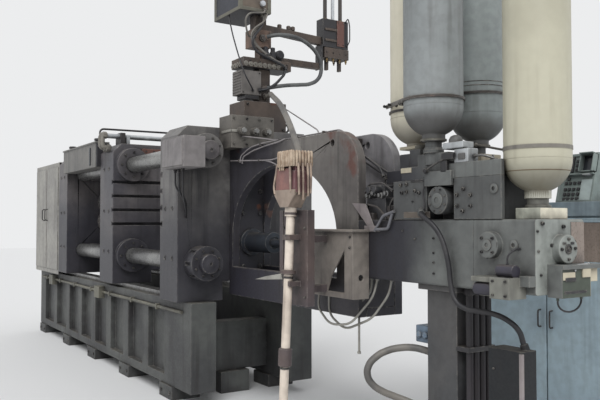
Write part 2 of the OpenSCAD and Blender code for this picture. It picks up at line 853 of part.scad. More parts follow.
// The small links from the crosshead to the rear links
module crosshead_links() {
    color(grey_c) for (row = [-1, 1], t = [-1, 1])
        link(cross_pivot, ear_pivot, row * small_y, small_link_t, t)
            link_outline(norm(ear_pivot - cross_pivot), small_eye_d, small_pin_d);
}

// The crosshead with the closing rod
module crosshead() {
    x = cross_pivot[0];
    half_l = 90;
    color(grey_c) difference() {
        union() {
            block([x - half_l, -cross_w / 2, axis_z - cross_h / 2],
                [x + half_l, cross_w / 2, axis_z + cross_h / 2]);
            bar_x(housing_rear, x - half_l + 1 - housing_rear, closing_rod_d, 0, axis_z);
        }
        for (t = [-1, 1]) {
            bar_x(x - half_l - 1, 2 * half_l + 2, guide_d + 2 * bar_fit, 0, axis_z + t * guide_h);
            bar_y(-cross_w, 2 * cross_w, small_pin_d + 2 * pin_fit, x, axis_z + t * cross_pivot[1]);
        }
    }
}

// Two guide rods from the link housing, one over the other
module crosshead_guides() {
    color(steel_c) for (t = [-1, 1]) bar_x(housing_face, guide_l, guide_d, 0, axis_z + t * guide_h);
}

// The ejector cylinder behind the moving platen
module ejector_cylinder() {
    flange_t = 40;
    color(greasy_c) {
        bar_x(moving_rear - ejector_l, ejector_l - 1, ejector_d, 0, axis_z);
        bar_x(moving_rear - flange_t, flange_t, ejector_d + 80, 0, axis_z);
        bar_x(moving_rear - ejector_l - 60, 61, ejector_d / 2, 0, axis_z);
    }
}

// The closing cylinder on the link housing, with a flange at each end
module closing_cylinder() {
    flange_t = 60;
    color(greasy_c) {
        bar_x(housing_rear - closing_l, closing_l - flange_t, closing_d, 0, axis_z);
        for (x = [flange_t, closing_l]) bar_x(housing_rear - x, flange_t, closing_d + 120, 0, axis_z);
    }
}

// The long tank along the near upper side, on the link housing's face
module top_tank() {
    y = -tie_pitch - tie_d / 2 - tank_gap;
    z = platen_top - 230;
    x1 = housing_face + tank_l;
    lid_z = z + tank_h - tank_lid_t;
    color(grey_c) {
        block([housing_face, y - tank_w + tank_lid_over, z], [x1 - tank_lid_over, y, lid_z + 1]);
        block([housing_face, y - tank_w, lid_z], [x1, y, z + tank_h]);
    }
}

// The cover over the closing cylinder
module rear_cover() {
    x1 = housing_rear - 2;
    top = axis_z + tie_pitch + tie_nut_d / 2 + rear_cover_gap;
    color(cabinet_c) difference() {
        block([x1 - rear_cover_l, -platen_half_w, bed_top], [x1, platen_half_w, top]);
        block([x1 - rear_cover_l + sheet_t, -platen_half_w + sheet_t, bed_top - 1],
            [x1 + 1, platen_half_w - sheet_t, top - sheet_t]);
    }
}

// Pipes across the moving platen's top, on saddles
module top_pipes() {
    x = moving_face - 100;
    y0 = -platen_half_w - 50;
    z = platen_top + top_pipe_pitch;
    saddle_w = 40;
    color(steel_c) {
        for (i = [0, 1]) bar_y(y0, top_pipe_l, top_pipe_d, x - i * top_pipe_pitch, z);
        for (y = [y0 + top_pipe_l * 0.2, y0 + top_pipe_l * 0.84])
            block([x - top_pipe_pitch - 30, y, platen_top], [x + 30, y + saddle_w, z]);
    }
}

// Valve block on the fixed platen above the C frame
module platen_valve_block() {
    y = -300;
    x1 = fixed_platen_t + platen_valves_l;
    first = y + (platen_valves_w - 2 * platen_valves_pitch) / 2;
    color(rust_c) {
        block([fixed_platen_t, y, cheek_top], [x1, y + platen_valves_w, platen_top + 90]);
        for (i = [0:2]) bar_x(x1 - 1, 61, 70, first + i * platen_valves_pitch, cheek_top + 150);
    }
}

// A half ellipse of the arch, from its far foot to its near one
function arch_points(n) = [for (i = [0:n]) [
    arch_mid + arch_half_l * cos(180 * i / n), arch_spring + arch_rise * sin(180 * i / n)]];

// The side of the C frame seen along Y
module cheek_outline() {
    difference() {
        union() {
            translate([fixed_platen_t, cheek_bottom])
                square([cheek_end - fixed_platen_t, cheek_top - cheek_corner - cheek_bottom]);
            translate([fixed_platen_t, cheek_top - cheek_corner - 1])
                square([cheek_end - cheek_corner - fixed_platen_t, cheek_corner + 1]);
            translate([cheek_end - cheek_corner, cheek_top - cheek_corner]) circle(r = cheek_corner);
        }
        polygon(concat([[arch_mid - arch_half_l, arch_sill], [arch_mid + arch_half_l, arch_sill]],
            arch_points(32)));
        translate([cheek_end - 305, cheek_top - 83]) circle(d = lift_hole_d);
    }
}

// One cheek of the C frame with its outer face at y
module cheek(y) {
    color(rust_c) translate([0, y + cheek_t, 0]) rotate([90, 0, 0]) linear_extrude(cheek_t) cheek_outline();
}

// Near cheek of the C frame
module c_frame_near() {
    cheek(-cheek_y);
}

// Far cheek of the C frame
module c_frame_far() {
    cheek(cheek_y - cheek_t);
}

// Backs of the valve drum and of the ram's guide, from their middles
drum_back = -60;
ram_front = 160;
ram_back = 175;
ram_far = 155;

// Half of the space between the cheeks
cheek_in = cheek_y - cheek_t;

// The plate between the cheeks that carries the shot block
module c_frame_end_plate() {
    color(rust_c) difference() {
        block([cheek_end - end_plate_t, -cheek_in, cheek_bottom + web_t], [cheek_end, cheek_in, block_top]);
        bar_x(cheek_end - end_plate_t - 1, end_plate_t + 2, gland_d + 2 * bar_fit, 0, shot_z);
    }
}

// The floor between the cheeks' feet and the plate that bolts the C frame to the fixed platen
module c_frame_web() {
    x = fixed_platen_t;
    color(rust_c) difference() {
        union() {
            block([x, -cheek_in, cheek_bottom], [cheek_end, cheek_in, cheek_bottom + web_t]);
            block([x, -cheek_in, cheek_bottom], [x + web_t, cheek_in, cheek_top]);
        }
        bar_x(x - 1, web_t + 2, sleeve_d + 2 * bar_fit, 0, shot_z);
    }
}

// The square section of the shot block
module block_section() {
    a = block_half - block_bevel;
    polygon([[-a, -block_half], [a, -block_half], [block_half, -a], [block_half, a],
        [a, block_half], [-a, block_half], [-block_half, a], [-block_half, -a]]);
}

// The long square shot cylinder block, with its gland through the end plate
module shot_block() {
    gland_x = cheek_end - end_plate_t - gland_l;
    rod_end = cheek_end - end_plate_t + rod_in;
    color(block_c) difference() {
        union() {
            translate([cheek_end, 0, shot_z]) rotate([90, 0, 90]) linear_extrude(seam_x - cheek_end)
                block_section();
            bar_x(gland_x, end_plate_t + gland_l + 1, gland_d, 0, shot_z);
        }
        bar_x(gland_x - 1, rod_end + rod_room - gland_x + 1, shot_rod_d + 2 * bar_fit, 0, shot_z);
    }
}

// The head that closes the shot cylinder, with round caps on its near side and its end
module shot_end_head() {
    color(block_c) {
        translate([seam_x, 0, shot_z]) rotate([90, 0, 90]) linear_extrude(block_end - seam_x) block_section();
        bar_y(-block_half - side_cap_l, side_cap_l + 1, side_cap_d, side_cap_x, side_cap_z);
        bar_x(block_end - 1, end_cap_l + 1, end_cap_d, 0, shot_z + 40);
    }
}

// The shot rod with its coupling
module shot_rod() {
    color(steel_c) {
        bar_x(coupling_x, cheek_end - end_plate_t + rod_in - coupling_x, shot_rod_d, 0, shot_z);
        bar_x(coupling_x - coupling_l / 2, coupling_l, coupling_d, 0, shot_z);
    }
}

// The plunger rod and its tip in the sleeve
module plunger() {
    tip = fixed_platen_t + sleeve_out - tip_l - 10;
    color(steel_c) {
        bar_x(tip + tip_l, coupling_x - coupling_l / 2 - tip - tip_l, plunger_d, 0, shot_z);
        bar_x(tip, tip_l + 1, sleeve_bore - 2 * bar_fit, 0, shot_z);
    }
}

// The shot sleeve with its pouring slot
module shot_sleeve() {
    x1 = fixed_platen_t + sleeve_out;
    slot_half = sleeve_bore * 0.35;
    color(steel_c) difference() {
        union() {
            bar_x(-sleeve_in, x1 + sleeve_in, sleeve_d, 0, shot_z);
            bar_x(fixed_platen_t + web_t, 30, sleeve_d + 60, 0, shot_z);
        }
        bar_x(-sleeve_in - 1, x1 + sleeve_in + 2, sleeve_bore, 0, shot_z);
        block([x1 - pour_lip - pour_l, -slot_half, shot_z], [x1 - pour_lip, slot_half, shot_z + sleeve_d]);
    }
}

// Pilot valves on the shot block behind the C frame, with pipes to the manifold
module pilot_valves() {
    x = cheek_end + 40;
    y = -150;
    top = upper_z - 10;
    color(block_c) {
        block([x, y, block_top], [x + 200, y + 140, block_top + 145]);
        block([x + 20, y + 20, block_top + 144], [x + 160, y + 120, top]);
        for (i = [0, 1]) {
            bar_y(y - 40, 61, 50, x + 60 + i * 60, top - 30);
            bar_x(x + 199, left_block_x - x - 199, 40, y + 40 + i * 60, block_top + 75);
        }
    }
}

// The space that the end bottle keeps free
module end_bottle_room() {
    translate([end_bottle[0], end_bottle[1], block_top - 1])
        cylinder(r = bottle_r + bottle_gap, h = upper_top - block_top + 2);
}

// The lower manifold blocks on the shot block, and the column under the end bottle
module manifold_lower() {
    base_h = 60;
    right_end = right_block_x + right_block_l;
    color(block_c) {
        difference() {
            union() {
                block([left_block_x, -block_half, block_top], [left_block_x + left_block_l, block_half, upper_z]);
                block([right_block_x, -block_half, block_top], [right_end, block_half, upper_z]);
                block([left_block_x + left_block_l - 1, drum_back, block_top],
                    [right_block_x + 1, block_half, upper_z]);
                block([left_bottle[0] - 110, 0, block_top], [left_block_x + 1, block_half, upper_z]);
            }
            end_bottle_room();
        }
        block([end_bottle[0] - 60, -110, block_top], [end_bottle[0] + 105, 110, block_top + base_h]);
        translate([end_bottle[0], end_bottle[1], block_top + base_h - 1])
            cylinder(d = neck_d + 13, h = end_bottle_z - boss_h - block_top - base_h + 1);
        fitting(post_route, false, post_hose_d);
    }
}

// The round valve drum between the lower blocks
module valve_drum() {
    color(block_c) bar_y(-block_half - drum_out, drum_back + block_half + drum_out, drum_d,
        (left_block_x + left_block_l + right_block_x) / 2, block_top + drum_d / 2 + 30);
}

// The upper manifold under the three bottles, with its pedestal, necks and drum plate
module manifold_upper() {
    color(block_c) {
        difference() {
            union() {
                block([left_bottle[0] - 130, drum_back, upper_z],
                    [far_bottle[0] + 260, far_bottle[1] + 120, upper_top]);
                block([left_block_x + 80, -block_half, upper_z],
                    [right_block_x + right_block_l, block_half, upper_top]);
            }
            end_bottle_room();
        }
        block([left_block_x + left_block_l, -block_half - drum_out, upper_z - 43],
            [right_block_x, 1 - block_half, upper_top - 40]);
        block([near_bottle[0] - 110, -block_half, upper_top - 1],
            [near_bottle[0] + 150, drum_back, upper_top + pedestal_h]);
        for (p = [near_bottle, far_bottle, left_bottle])
            translate([p[0], p[1], upper_top - 1]) cylinder(d = neck_d, h = bottle_z - boss_h - upper_top + 1);
    }
}

// A gas bottle with a round bottom and a round top on lowest point z, and the boss under it
module bottle(p, z) {
    translate([p[0], p[1], 0]) {
        rotate_extrude() intersection() {
            translate([0, z]) square([bottle_r, bottle_top - z]);
            union() {
                translate([0, z + bottle_r]) circle(r = bottle_r);
                translate([0, bottle_top - bottle_r]) circle(r = bottle_r);
                translate([0, z + bottle_r]) square([bottle_r, bottle_top - z - 2 * bottle_r]);
            }
        }
        translate([0, 0, z - boss_h]) cylinder(d = bottle_boss_d, h = boss_h + 20);
    }
}

// The two cream bottles, left and at the end
module cream_bottles() {
    color(cream_c) {
        bottle(left_bottle, bottle_z);
        bottle(end_bottle, end_bottle_z);
    }
}

// The two grey bottles, near and far
module grey_bottles() {
    color(grey_c) {
        bottle(near_bottle, bottle_z);
        bottle(far_bottle, bottle_z);
    }
}

// Bands round the three bottles, joined by plates that reach up to the far bottle's
module bottle_strap() {
    places = [near_bottle, far_bottle, left_bottle];
    rise = [0, strap_step, 0];
    band_mid = bottle_r + strap_t / 2;
    color(grey_c) for (i = [0:2]) {
        p = places[i];
        d = places[(i + 1) % 3] - p;
        plate_h = strap_h + max(rise[i], rise[(i + 1) % 3]);
        translate([p[0], p[1], strap_z]) {
            translate([0, 0, rise[i]]) difference() {
                cylinder(r = bottle_r + strap_t, h = strap_h);
                translate([0, 0, -1]) cylinder(r = bottle_r, h = strap_h + 2);
            }
            rotate([0, 0, atan2(d[1], d[0])])
                translate([band_mid, -strap_t / 2, 0]) cube([norm(d) - 2 * band_mid, strap_t, plate_h]);
        }
    }
}

// The valve on the block's near side, and the one on its end face
module shot_valves() {
    x = side_valve_x;
    y = -block_half;
    top = side_valve_z + side_valve_h;
    end_y = -106;
    color(cream_c) {
        block([x, y - side_valve_w, side_valve_z], [x + side_valve_l, y, top]);
        block([x - 110, y - side_valve_w + 30, side_valve_z + 35], [x + 1, y, top - 5]);
        block([x + side_valve_l - 1, y - 50, top - 45], [block_end, y, top + 10]);
        bar_x(x + 10, side_valve_l - 20, solenoid_d, y - side_valve_w / 2, top + solenoid_d / 2 - 5);
    }
    color(block_c) {
        block([block_end, end_y, end_valve_z], [block_end + end_valve_l, end_y + end_valve_w, end_valve_top + 1]);
        block([block_end, end_y, end_valve_top],
            [block_end + end_valve_l + 10, block_half, end_valve_top + end_valve_t]);
        block([block_end, end_y + end_valve_w - 1, end_valve_top - 70],
            [block_end + end_valve_l - 10, block_half, end_valve_top + 1]);
        for (last = [false, true]) fitting(valve_route, last, valve_hose_d);
    }
}

// The square pillar under the shot block
module shot_pillar() {
    color(pillar_c) {
        translate([pillar_x - pillar_w / 2, -pillar_w / 2, 0]) cube([pillar_w, pillar_w, block_bottom]);
        for (z = [0, block_bottom - pillar_plate_t])
            translate([pillar_x - pillar_plate_w / 2, -pillar_plate_w / 2, z])
                cube([pillar_plate_w, pillar_plate_w, pillar_plate_t]);
        for (last = [false, true]) fitting(loop_route, last, loop_hose_d);
    }
}

// The low post beside the pillar
module low_post() {
    color(pillar_c) {
        translate([low_post_x, low_post_y, 0]) cube([low_post_l, low_post_w, low_post_h]);
        fitting(post_route, true, post_hose_d);
    }
}

// The bracket on the near cheek: a box of plates, cut open at the lower right
module side_bracket() {
    x1 = bracket_x + bracket_l;
    y0 = -cheek_y - bracket_w;
    z0 = bracket_top - bracket_h;
    open_x = x1 - bracket_post;
    color(pillar_c) difference() {
        union() {
            block([bracket_x, y0, z0], [x1, y0 + bracket_t, bracket_top]);
            block([bracket_x - bracket_over, y0 - bracket_over, bracket_top - bracket_t],
                [x1 + bracket_over, -cheek_y, bracket_top]);
            for (x = [bracket_x, x1 - bracket_t]) block([x, y0, z0], [x + bracket_t, -cheek_y, bracket_top - 1]);
            block([bracket_x, y0, z0], [x1, y0 + bracket_rail, z0 + bracket_rail]);
        }
        translate([0, y0 + bracket_t + 1, 0]) rotate([90, 0, 0]) linear_extrude(bracket_t + 2)
            polygon([[open_x, bracket_top - 137], [open_x, z0 + bracket_rail],
                [open_x - 200, z0 + bracket_rail], [open_x - 150, z0 + 147]]);
        bar_x(x1 - bracket_t - 1, bracket_t + 2, bracket_hole_d, -cheek_y - bracket_w / 2, z0 + 140);
    }
}

// The pedestal of the sprayer on the fixed platen, with its post
module sprayer_post() {
    color(greasy_c) {
        block([post_x - 140, post_y - 325, platen_top], [post_x + 160, post_y + 130, sprayer_top]);
        block([post_x - post_w / 2, post_y - 110, sprayer_top - 1], [post_x + post_w / 2, post_y + 10, arm_z]);
        fitting(lance_route, false, lance_hose_d);
        fitting(boom_route, true, boom_hose_d);
    }
}

// The arm on the post, and the lower bar out to the ram's guide
module sprayer_boom() {
    color(greasy_c) {
        block([post_x - 120, post_y - 314, arm_z], [post_x + 120, post_y + 212, arm_z + arm_t]);
        block([post_x - boom_t / 2, post_y + 80, arm_z + arm_t - 1],
            [post_x + boom_t / 2, ram_y - ram_back, arm_z + arm_t + boom_t]);
        fitting(drive_route, true, drive_hose_d);
    }
}

// The gearbox over the arm with its necks and the upper bar, and the motor box beside the post
module sprayer_drives() {
    color(rust_c) {
        block([post_x - 50, post_y - 100, arm_z + arm_t], [post_x + 50, post_y, gearbox_z + 1]);
        block([post_x - 80, post_y - 186, gearbox_z], [post_x + 80, post_y + 10, neck_z]);
        block([post_x - 55, post_y - 150, neck_z - 1], [post_x + 55, post_y - 30, top_box_z]);
        translate([post_x - boom_t / 2, 0, 0]) rotate([90, 0, 90]) linear_extrude(boom_t)
            polygon([[post_y - 31, neck_z - 1], [post_y + 10, neck_z - 1], [ram_y - ram_front, neck_z - 40],
                [ram_y - ram_front, neck_z + 40], [post_y - 31, neck_z + 70]]);
        fitting(boom_route, false, boom_hose_d);
        block([post_x - 80, post_y - 324, sprayer_top + 70], [post_x + 100, post_y - 110, arm_z - 30]);
    }
}

// The box on the sprayer's top
module sprayer_box() {
    color(rust_c) {
        difference() {
            block([post_x - 390, post_y - 370, top_box_z], [post_x + 150, post_y - 30, top_box_z + top_box_h]);
            block([post_x - 390 + box_frame, post_y - 371, top_box_z + box_frame],
                [post_x + 150 - box_frame, post_y - 370 + box_recess, top_box_z + top_box_h - box_frame]);
            block([post_x + 150 - box_recess, post_y - 370 + box_frame, top_box_z + box_frame],
                [post_x + 151, post_y - 30 - box_frame, top_box_z + top_box_h - box_frame]);
        }
        fitting(drive_route, false, drive_hose_d);
    }
}

// The block that guides the ram's rods, with a plate down to the lower bar
module ram_guide() {
    color(greasy_c) difference() {
        union() {
            block([post_x - 60, ram_y - ram_front, ram_z], [post_x + 60, ram_y + ram_far, ram_z + ram_guide_h]);
            block([post_x - 60, ram_y - ram_back, arm_z + arm_t], [post_x + 60, ram_y - ram_front + 1, ram_z + 20]);
        }
        for (y = [-guide_pitch / 2, guide_pitch / 2]) translate([post_x, ram_y + y, ram_z - 1])
            cylinder(d = guide_rod_d + 2 * bar_fit, h = ram_guide_h + 2);
        translate([post_x, ram_y, ram_z - 1]) cylinder(d = ram_rod_d + 2 * bar_fit, h = ram_guide_h + 2);
    }
}

// The ram's rods, which slide down through the guide
module ram_rods() {
    z = ram_z - ram_gap;
    color(steel_c) {
        for (y = [-guide_pitch / 2, guide_pitch / 2]) translate([post_x, ram_y + y, z])
            cylinder(d = guide_rod_d, h = rod_l);
        translate([post_x, ram_y, z]) cylinder(d = ram_rod_d, h = rod_l);
    }
}

// The ram's foot with its two lugs
module ram_foot() {
    z = ram_z - ram_gap - ram_foot_h;
    lug_h = 115;
    color(rust_c) {
        block([post_x - 70, ram_y - ram_front + 14, z], [post_x + 70, ram_y + ram_far, z + ram_foot_h]);
        for (y = [-95, 65]) block([post_x - 20, ram_y + y, z - lug_h], [post_x + 20, ram_y + y + 30, z + 1]);
    }
}

// What stands on the lance's foot, leaning with it
module leaning() {
    translate([lance_x, lance_y, 0]) rotate([-lance_lean, 0, 0]) children();
}

// The lance's head with its row of copper tubes
module lance_head() {
    w = lance_head_w / 2;
    columns = 8;
    pitch = (lance_head_w - 56) / (columns - 1);
    row = lance_head_d * 0.3;
    color(copper_c) {
        leaning() {
            translate([0, lance_head_d / 2, lance_head_z]) rotate([90, 0, 0]) linear_extrude(lance_head_d)
                polygon([[-45, 0], [45, 0], [w, 95], [w - 15, lance_head_h], [15 - w, lance_head_h], [-w, 95]]);
            for (i = [0:columns - 1], j = [-1:1])
                translate([28 - w + i * pitch, j * row, lance_head_z + lance_head_h - 1])
                    cylinder(d = lance_tube_d, h = lance_tube_l + 1);
        }
        fitting(lance_route, true, lance_hose_d);
    }
}

// The lance's pipe down to its foot on the floor
module lance_pipe() {
    foot_t = 30;
    color(cream_c) {
        leaning() translate([0, 0, foot_t - 10]) cylinder(d = lance_pipe_d, h = lance_head_z - foot_t + 10);
        leaning() translate([0, 0, lance_head_z - 60]) cylinder(d = lance_pipe_d + 22, h = 60);
        translate([lance_x, lance_y, 0]) cylinder(d = lance_pipe_d + 60, h = foot_t);
    }
}

// The channel behind the lance, with its two arms to the bracket and its two clamps on the pipe
module lance_channel() {
    x0 = lance_x - channel_w / 2 - 30;
    z0 = channel_top - channel_h;
    wall = 10;
    bracket_y = -cheek_y - bracket_w;
    color(rust_c) difference() {
        union() {
            block([x0, channel_y, z0], [x0 + channel_w, channel_y + wall, channel_top]);
            for (x = [x0, x0 + channel_w - wall])
                block([x, channel_y, z0], [x + wall, channel_y + channel_d, channel_top]);
            for (z = [z0 + 80, bracket_top - 90])
                block([lance_x - 25, channel_y + wall - 1, z], [lance_x + 25, bracket_y, z + 50]);
            for (z = [z0 + 130, channel_top - 200])
                block([lance_x - 45, channel_y - 90, z], [lance_x + 45, channel_y + 1, z + 35]);
        }
        leaning() cylinder(d = lance_pipe_d + 2 * bar_fit, h = channel_top);
    }
}

// The control cabinet on the far side
module control_cabinet() {
    x1 = cabinet_x + cabinet_l;
    y1 = cabinet_y + cabinet_w;
    door_w = (cabinet_l - 3 * door_gap) / 2;
    roof_z = cabinet_h - roof_t;
    color(cabinet_c) {
        block([cabinet_x + plinth_in, cabinet_y + plinth_in, 0], [x1 - plinth_in, y1 - plinth_in, plinth_h + 1]);
        block([cabinet_x + door_t, cabinet_y + door_t, plinth_h], [x1 - door_t, y1 - door_t, roof_z + 1]);
        block([cabinet_x, cabinet_y, roof_z], [x1, y1, cabinet_h]);
        for (i = [0, 1]) translate([cabinet_x + door_gap + i * (door_w + door_gap), cabinet_y, plinth_h + door_gap])
            cube([door_w, door_t + 1, roof_z - plinth_h - 2 * door_gap]);
    }
}

// The keypad housing on the cabinet, its near face leaning back
module keypad_panel() {
    y = cabinet_y + 20;
    lean = 90;
    color(cabinet_c) difference() {
        translate([keypad_x, 0, 0]) rotate([90, 0, 90]) linear_extrude(keypad_l)
            polygon([[y, cabinet_h], [y + keypad_w, cabinet_h], [y + keypad_w, cabinet_h + keypad_h],
                [y + lean, cabinet_h + keypad_h]]);
        translate([keypad_x + keypad_rim, y, cabinet_h]) rotate([-atan(lean / keypad_h), 0, 0])
            translate([0, -1, keypad_rim])
            cube([keypad_l - 2 * keypad_rim, keypad_recess + 1, norm([lean, keypad_h]) - 2 * keypad_rim]);
    }
}

// The hose from the sprayer to the lance
module lance_hose() {
    color(grey_c) hose(lance_route, lance_hose_d);
}

// The looped hose at the pillar
module loop_hose() {
    color(grey_c) hose(loop_route, loop_hose_d);
}

// The cable from the manifold down to the low post
module post_hose() {
    color(black_c) hose(post_route, post_hose_d);
}

// The big hose loop beside the boom
module boom_hose() {
    color(black_c) hose(boom_route, boom_hose_d);
}

// The grey hose from the box to the arm
module drive_hose() {
    color(grey_c) hose(drive_route, drive_hose_d);
}

// The wire under the end valve
module valve_hose() {
    color(black_c) hose(valve_route, valve_hose_d);
}

bed_beams();
bed_cross_members();
bed_feet();
slide_rails();
fixed_platen();
moving_platen();
link_housing();
tie_bars();
tie_bar_nuts();
nut_cover();
rear_links();
front_links();
toggle_pins();
crosshead_links();
crosshead();
crosshead_guides();
ejector_cylinder();
closing_cylinder();
top_tank();
rear_cover();
top_pipes();
platen_valve_block();
c_frame_near();
c_frame_far();
c_frame_end_plate();
c_frame_web();
shot_block();
shot_end_head();
shot_rod();
plunger();
shot_sleeve();
pilot_valves();
manifold_lower();
valve_drum();
manifold_upper();
cream_bottles();
grey_bottles();
bottle_strap();
shot_valves();
shot_pillar();
low_post();
side_bracket();
sprayer_post();
sprayer_boom();
sprayer_drives();
sprayer_box();
ram_guide();
ram_rods();
ram_foot();
lance_head();
lance_pipe();
lance_channel();
control_cabinet();
keypad_panel();
lance_hose();
loop_hose();
post_hose();
boom_hose();
drive_hose();
valve_hose();
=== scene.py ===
"""Looks of a cold chamber die casting machine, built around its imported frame.

Lengths are metres in the machine's own frame: X grows from the clamp end to the shot end, Y away from the
operator and Z up from the floor.
"""

import logging
import math
from collections.abc import Iterable
from dataclasses import dataclass, replace
from enum import Enum
from itertools import product

import bpy
from mathutils import Matrix, Vector


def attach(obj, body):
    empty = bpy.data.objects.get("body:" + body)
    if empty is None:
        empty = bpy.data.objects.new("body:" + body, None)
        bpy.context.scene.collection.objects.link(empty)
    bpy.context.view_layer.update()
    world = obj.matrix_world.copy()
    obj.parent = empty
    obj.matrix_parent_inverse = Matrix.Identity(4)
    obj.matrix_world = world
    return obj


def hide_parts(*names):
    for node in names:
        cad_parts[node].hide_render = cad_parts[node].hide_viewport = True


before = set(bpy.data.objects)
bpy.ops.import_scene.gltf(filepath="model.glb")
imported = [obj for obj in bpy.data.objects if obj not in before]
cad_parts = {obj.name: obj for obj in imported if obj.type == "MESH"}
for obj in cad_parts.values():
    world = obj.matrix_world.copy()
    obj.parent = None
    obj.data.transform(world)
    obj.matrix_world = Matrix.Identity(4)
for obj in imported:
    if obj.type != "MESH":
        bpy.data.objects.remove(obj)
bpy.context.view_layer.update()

Point = tuple[float, float, float]
Box = tuple[Point, Point]
Profile = list[tuple[float, float]]
Row = float | tuple[float, ...]
Rgb = tuple[int, int, int]
Piece = bpy.types.Object
Socket = bpy.types.NodeSocket

MACHINE = "machine"
RAM = "spray_ram"
WHITE: Rgb = (255, 255, 255)
RUST_BROWN: Rgb = (104, 66, 52)
MASK = "Mask"
BUMP_DEPTH = 0.002
BEND_STEPS = 6
LOG = logging.getLogger("die_casting_machine")

# Widths of the rounding at edges, from thin sheet parts to castings
EDGE_FINE = 0.002
EDGE_SMALL = 0.003
EDGE_PLAIN = 0.004
EDGE_BROAD = 0.006

# Thread diameters of the screws and bolts
M6, M7, M8, M9, M10, M12, M13, M14, M16, M18, M20 = (
    size / 1000 for size in (6, 7, 8, 9, 10, 12, 13, 14, 16, 18, 20)
)


class Facing(Enum):
    """The way that the head of a bolt or the face of a small part looks."""

    OPERATOR = (0.0, -1.0, 0.0)
    FAR_SIDE = (0.0, 1.0, 0.0)
    SHOT_END = (1.0, 0.0, 0.0)
    CLAMP_END = (-1.0, 0.0, 0.0)
    UP = (0.0, 0.0, 1.0)
    DOWN = (0.0, 0.0, -1.0)

    @property
    def way(self) -> Vector:
        """The direction as a vector."""
        return Vector(self.value)

    def turn(self) -> Matrix:
        """The rotation that brings something modelled along +Z to this direction."""
        return self.way.to_track_quat("Z", "Y").to_matrix().to_4x4()


SIDES = ((-1, Facing.OPERATOR), (1, Facing.FAR_SIDE))


class Head(Enum):
    """Kinds of screw head."""

    SOCKET = "socket"
    HEX = "hex"


def linear(rgb: Rgb) -> tuple[float, float, float, float]:
    """Turns a screen colour into the colour that a shader takes.

    Args:
        rgb: Red, green and blue from 0 to 255, as a screen shows them.

    Returns:
        The linear colour with an alpha of 1.
    """
    low = 0.04045
    parts = [c / 255 for c in rgb]
    return (*[c / 12.92 if c <= low else ((c + 0.055) / 1.055) ** 2.4 for c in parts], 1.0)


class Graph:
    """Short calls that add nodes to a material or a node group and join them."""

    def __init__(self, tree: bpy.types.NodeTree) -> None:
        """Keeps the tree.

        Args:
            tree: The tree that the nodes go into.
        """
        self.tree = tree

    def node(self, kind: str, sockets: dict | None = None, **settings: object) -> bpy.types.Node:
        """Adds one node.

        Args:
            kind: The node's type name.
            sockets: Values or output sockets for its inputs, by name or number.
            settings: Properties of the node.

        Returns:
            The node.
        """
        made = self.tree.nodes.new(kind)
        for name, value in settings.items():
            setattr(made, name, value)
        for key, value in (sockets or {}).items():
            if isinstance(value, Socket):
                self.feed(value, made.inputs[key])
            else:
                made.inputs[key].default_value = value
        return made

    def math(self, operation: str, a: object, b: object = 0.0) -> Socket:
        """Works out one number from two, kept between 0 and 1.

        Args:
            operation: The name of the Math node's operation.
            a: First number or socket.
            b: Second number or socket.

        Returns:
            The result's socket.
        """
        return self.node("ShaderNodeMath", {0: a, 1: b}, operation=operation, use_clamp=True).outputs[0]

    def mix(self, factor: object, a: object, b: object) -> Socket:
        """Blends colour a into colour b by a factor.

        Args:
            factor: 0 gives a and 1 gives b.
            a: First colour or socket.
            b: Second colour or socket.

        Returns:
            The blended colour's socket.
        """
        return self.node("ShaderNodeMix", {0: factor, 6: a, 7: b}, data_type="RGBA").outputs[2]

    def step(self, value: object, low: object, high: object) -> Socket:
        """Rises softly from 0 at one value to 1 at another.

        Args:
            value: The number to look at.
            low: Where the result leaves 0.
            high: Where the result reaches 1.

        Returns:
            The result's socket.
        """
        sockets = {0: value, 1: low, 2: high}
        return self.node("ShaderNodeMapRange", sockets, interpolation_type="SMOOTHSTEP").outputs[0]

    def noise(self, place: object, scale: object, detail: float = 4.0) -> Socket:
        """Adds a soft noise.

        Args:
            place: The coordinates.
            scale: Spots per metre.
            detail: How many finer layers it has.

        Returns:
            The noise value's socket.
        """
        sockets = {"Vector": place, "Scale": scale, "Detail": detail}
        return self.node("ShaderNodeTexNoise", sockets).outputs["Fac"]

    def place(self) -> Socket:
        """The object coordinates, which are the machine's own."""
        return self.node("ShaderNodeTexCoord").outputs["Object"]

    def feed(self, source: Socket, target: Socket) -> None:
        """Joins an output to an input."""
        self.tree.links.new(source, target)


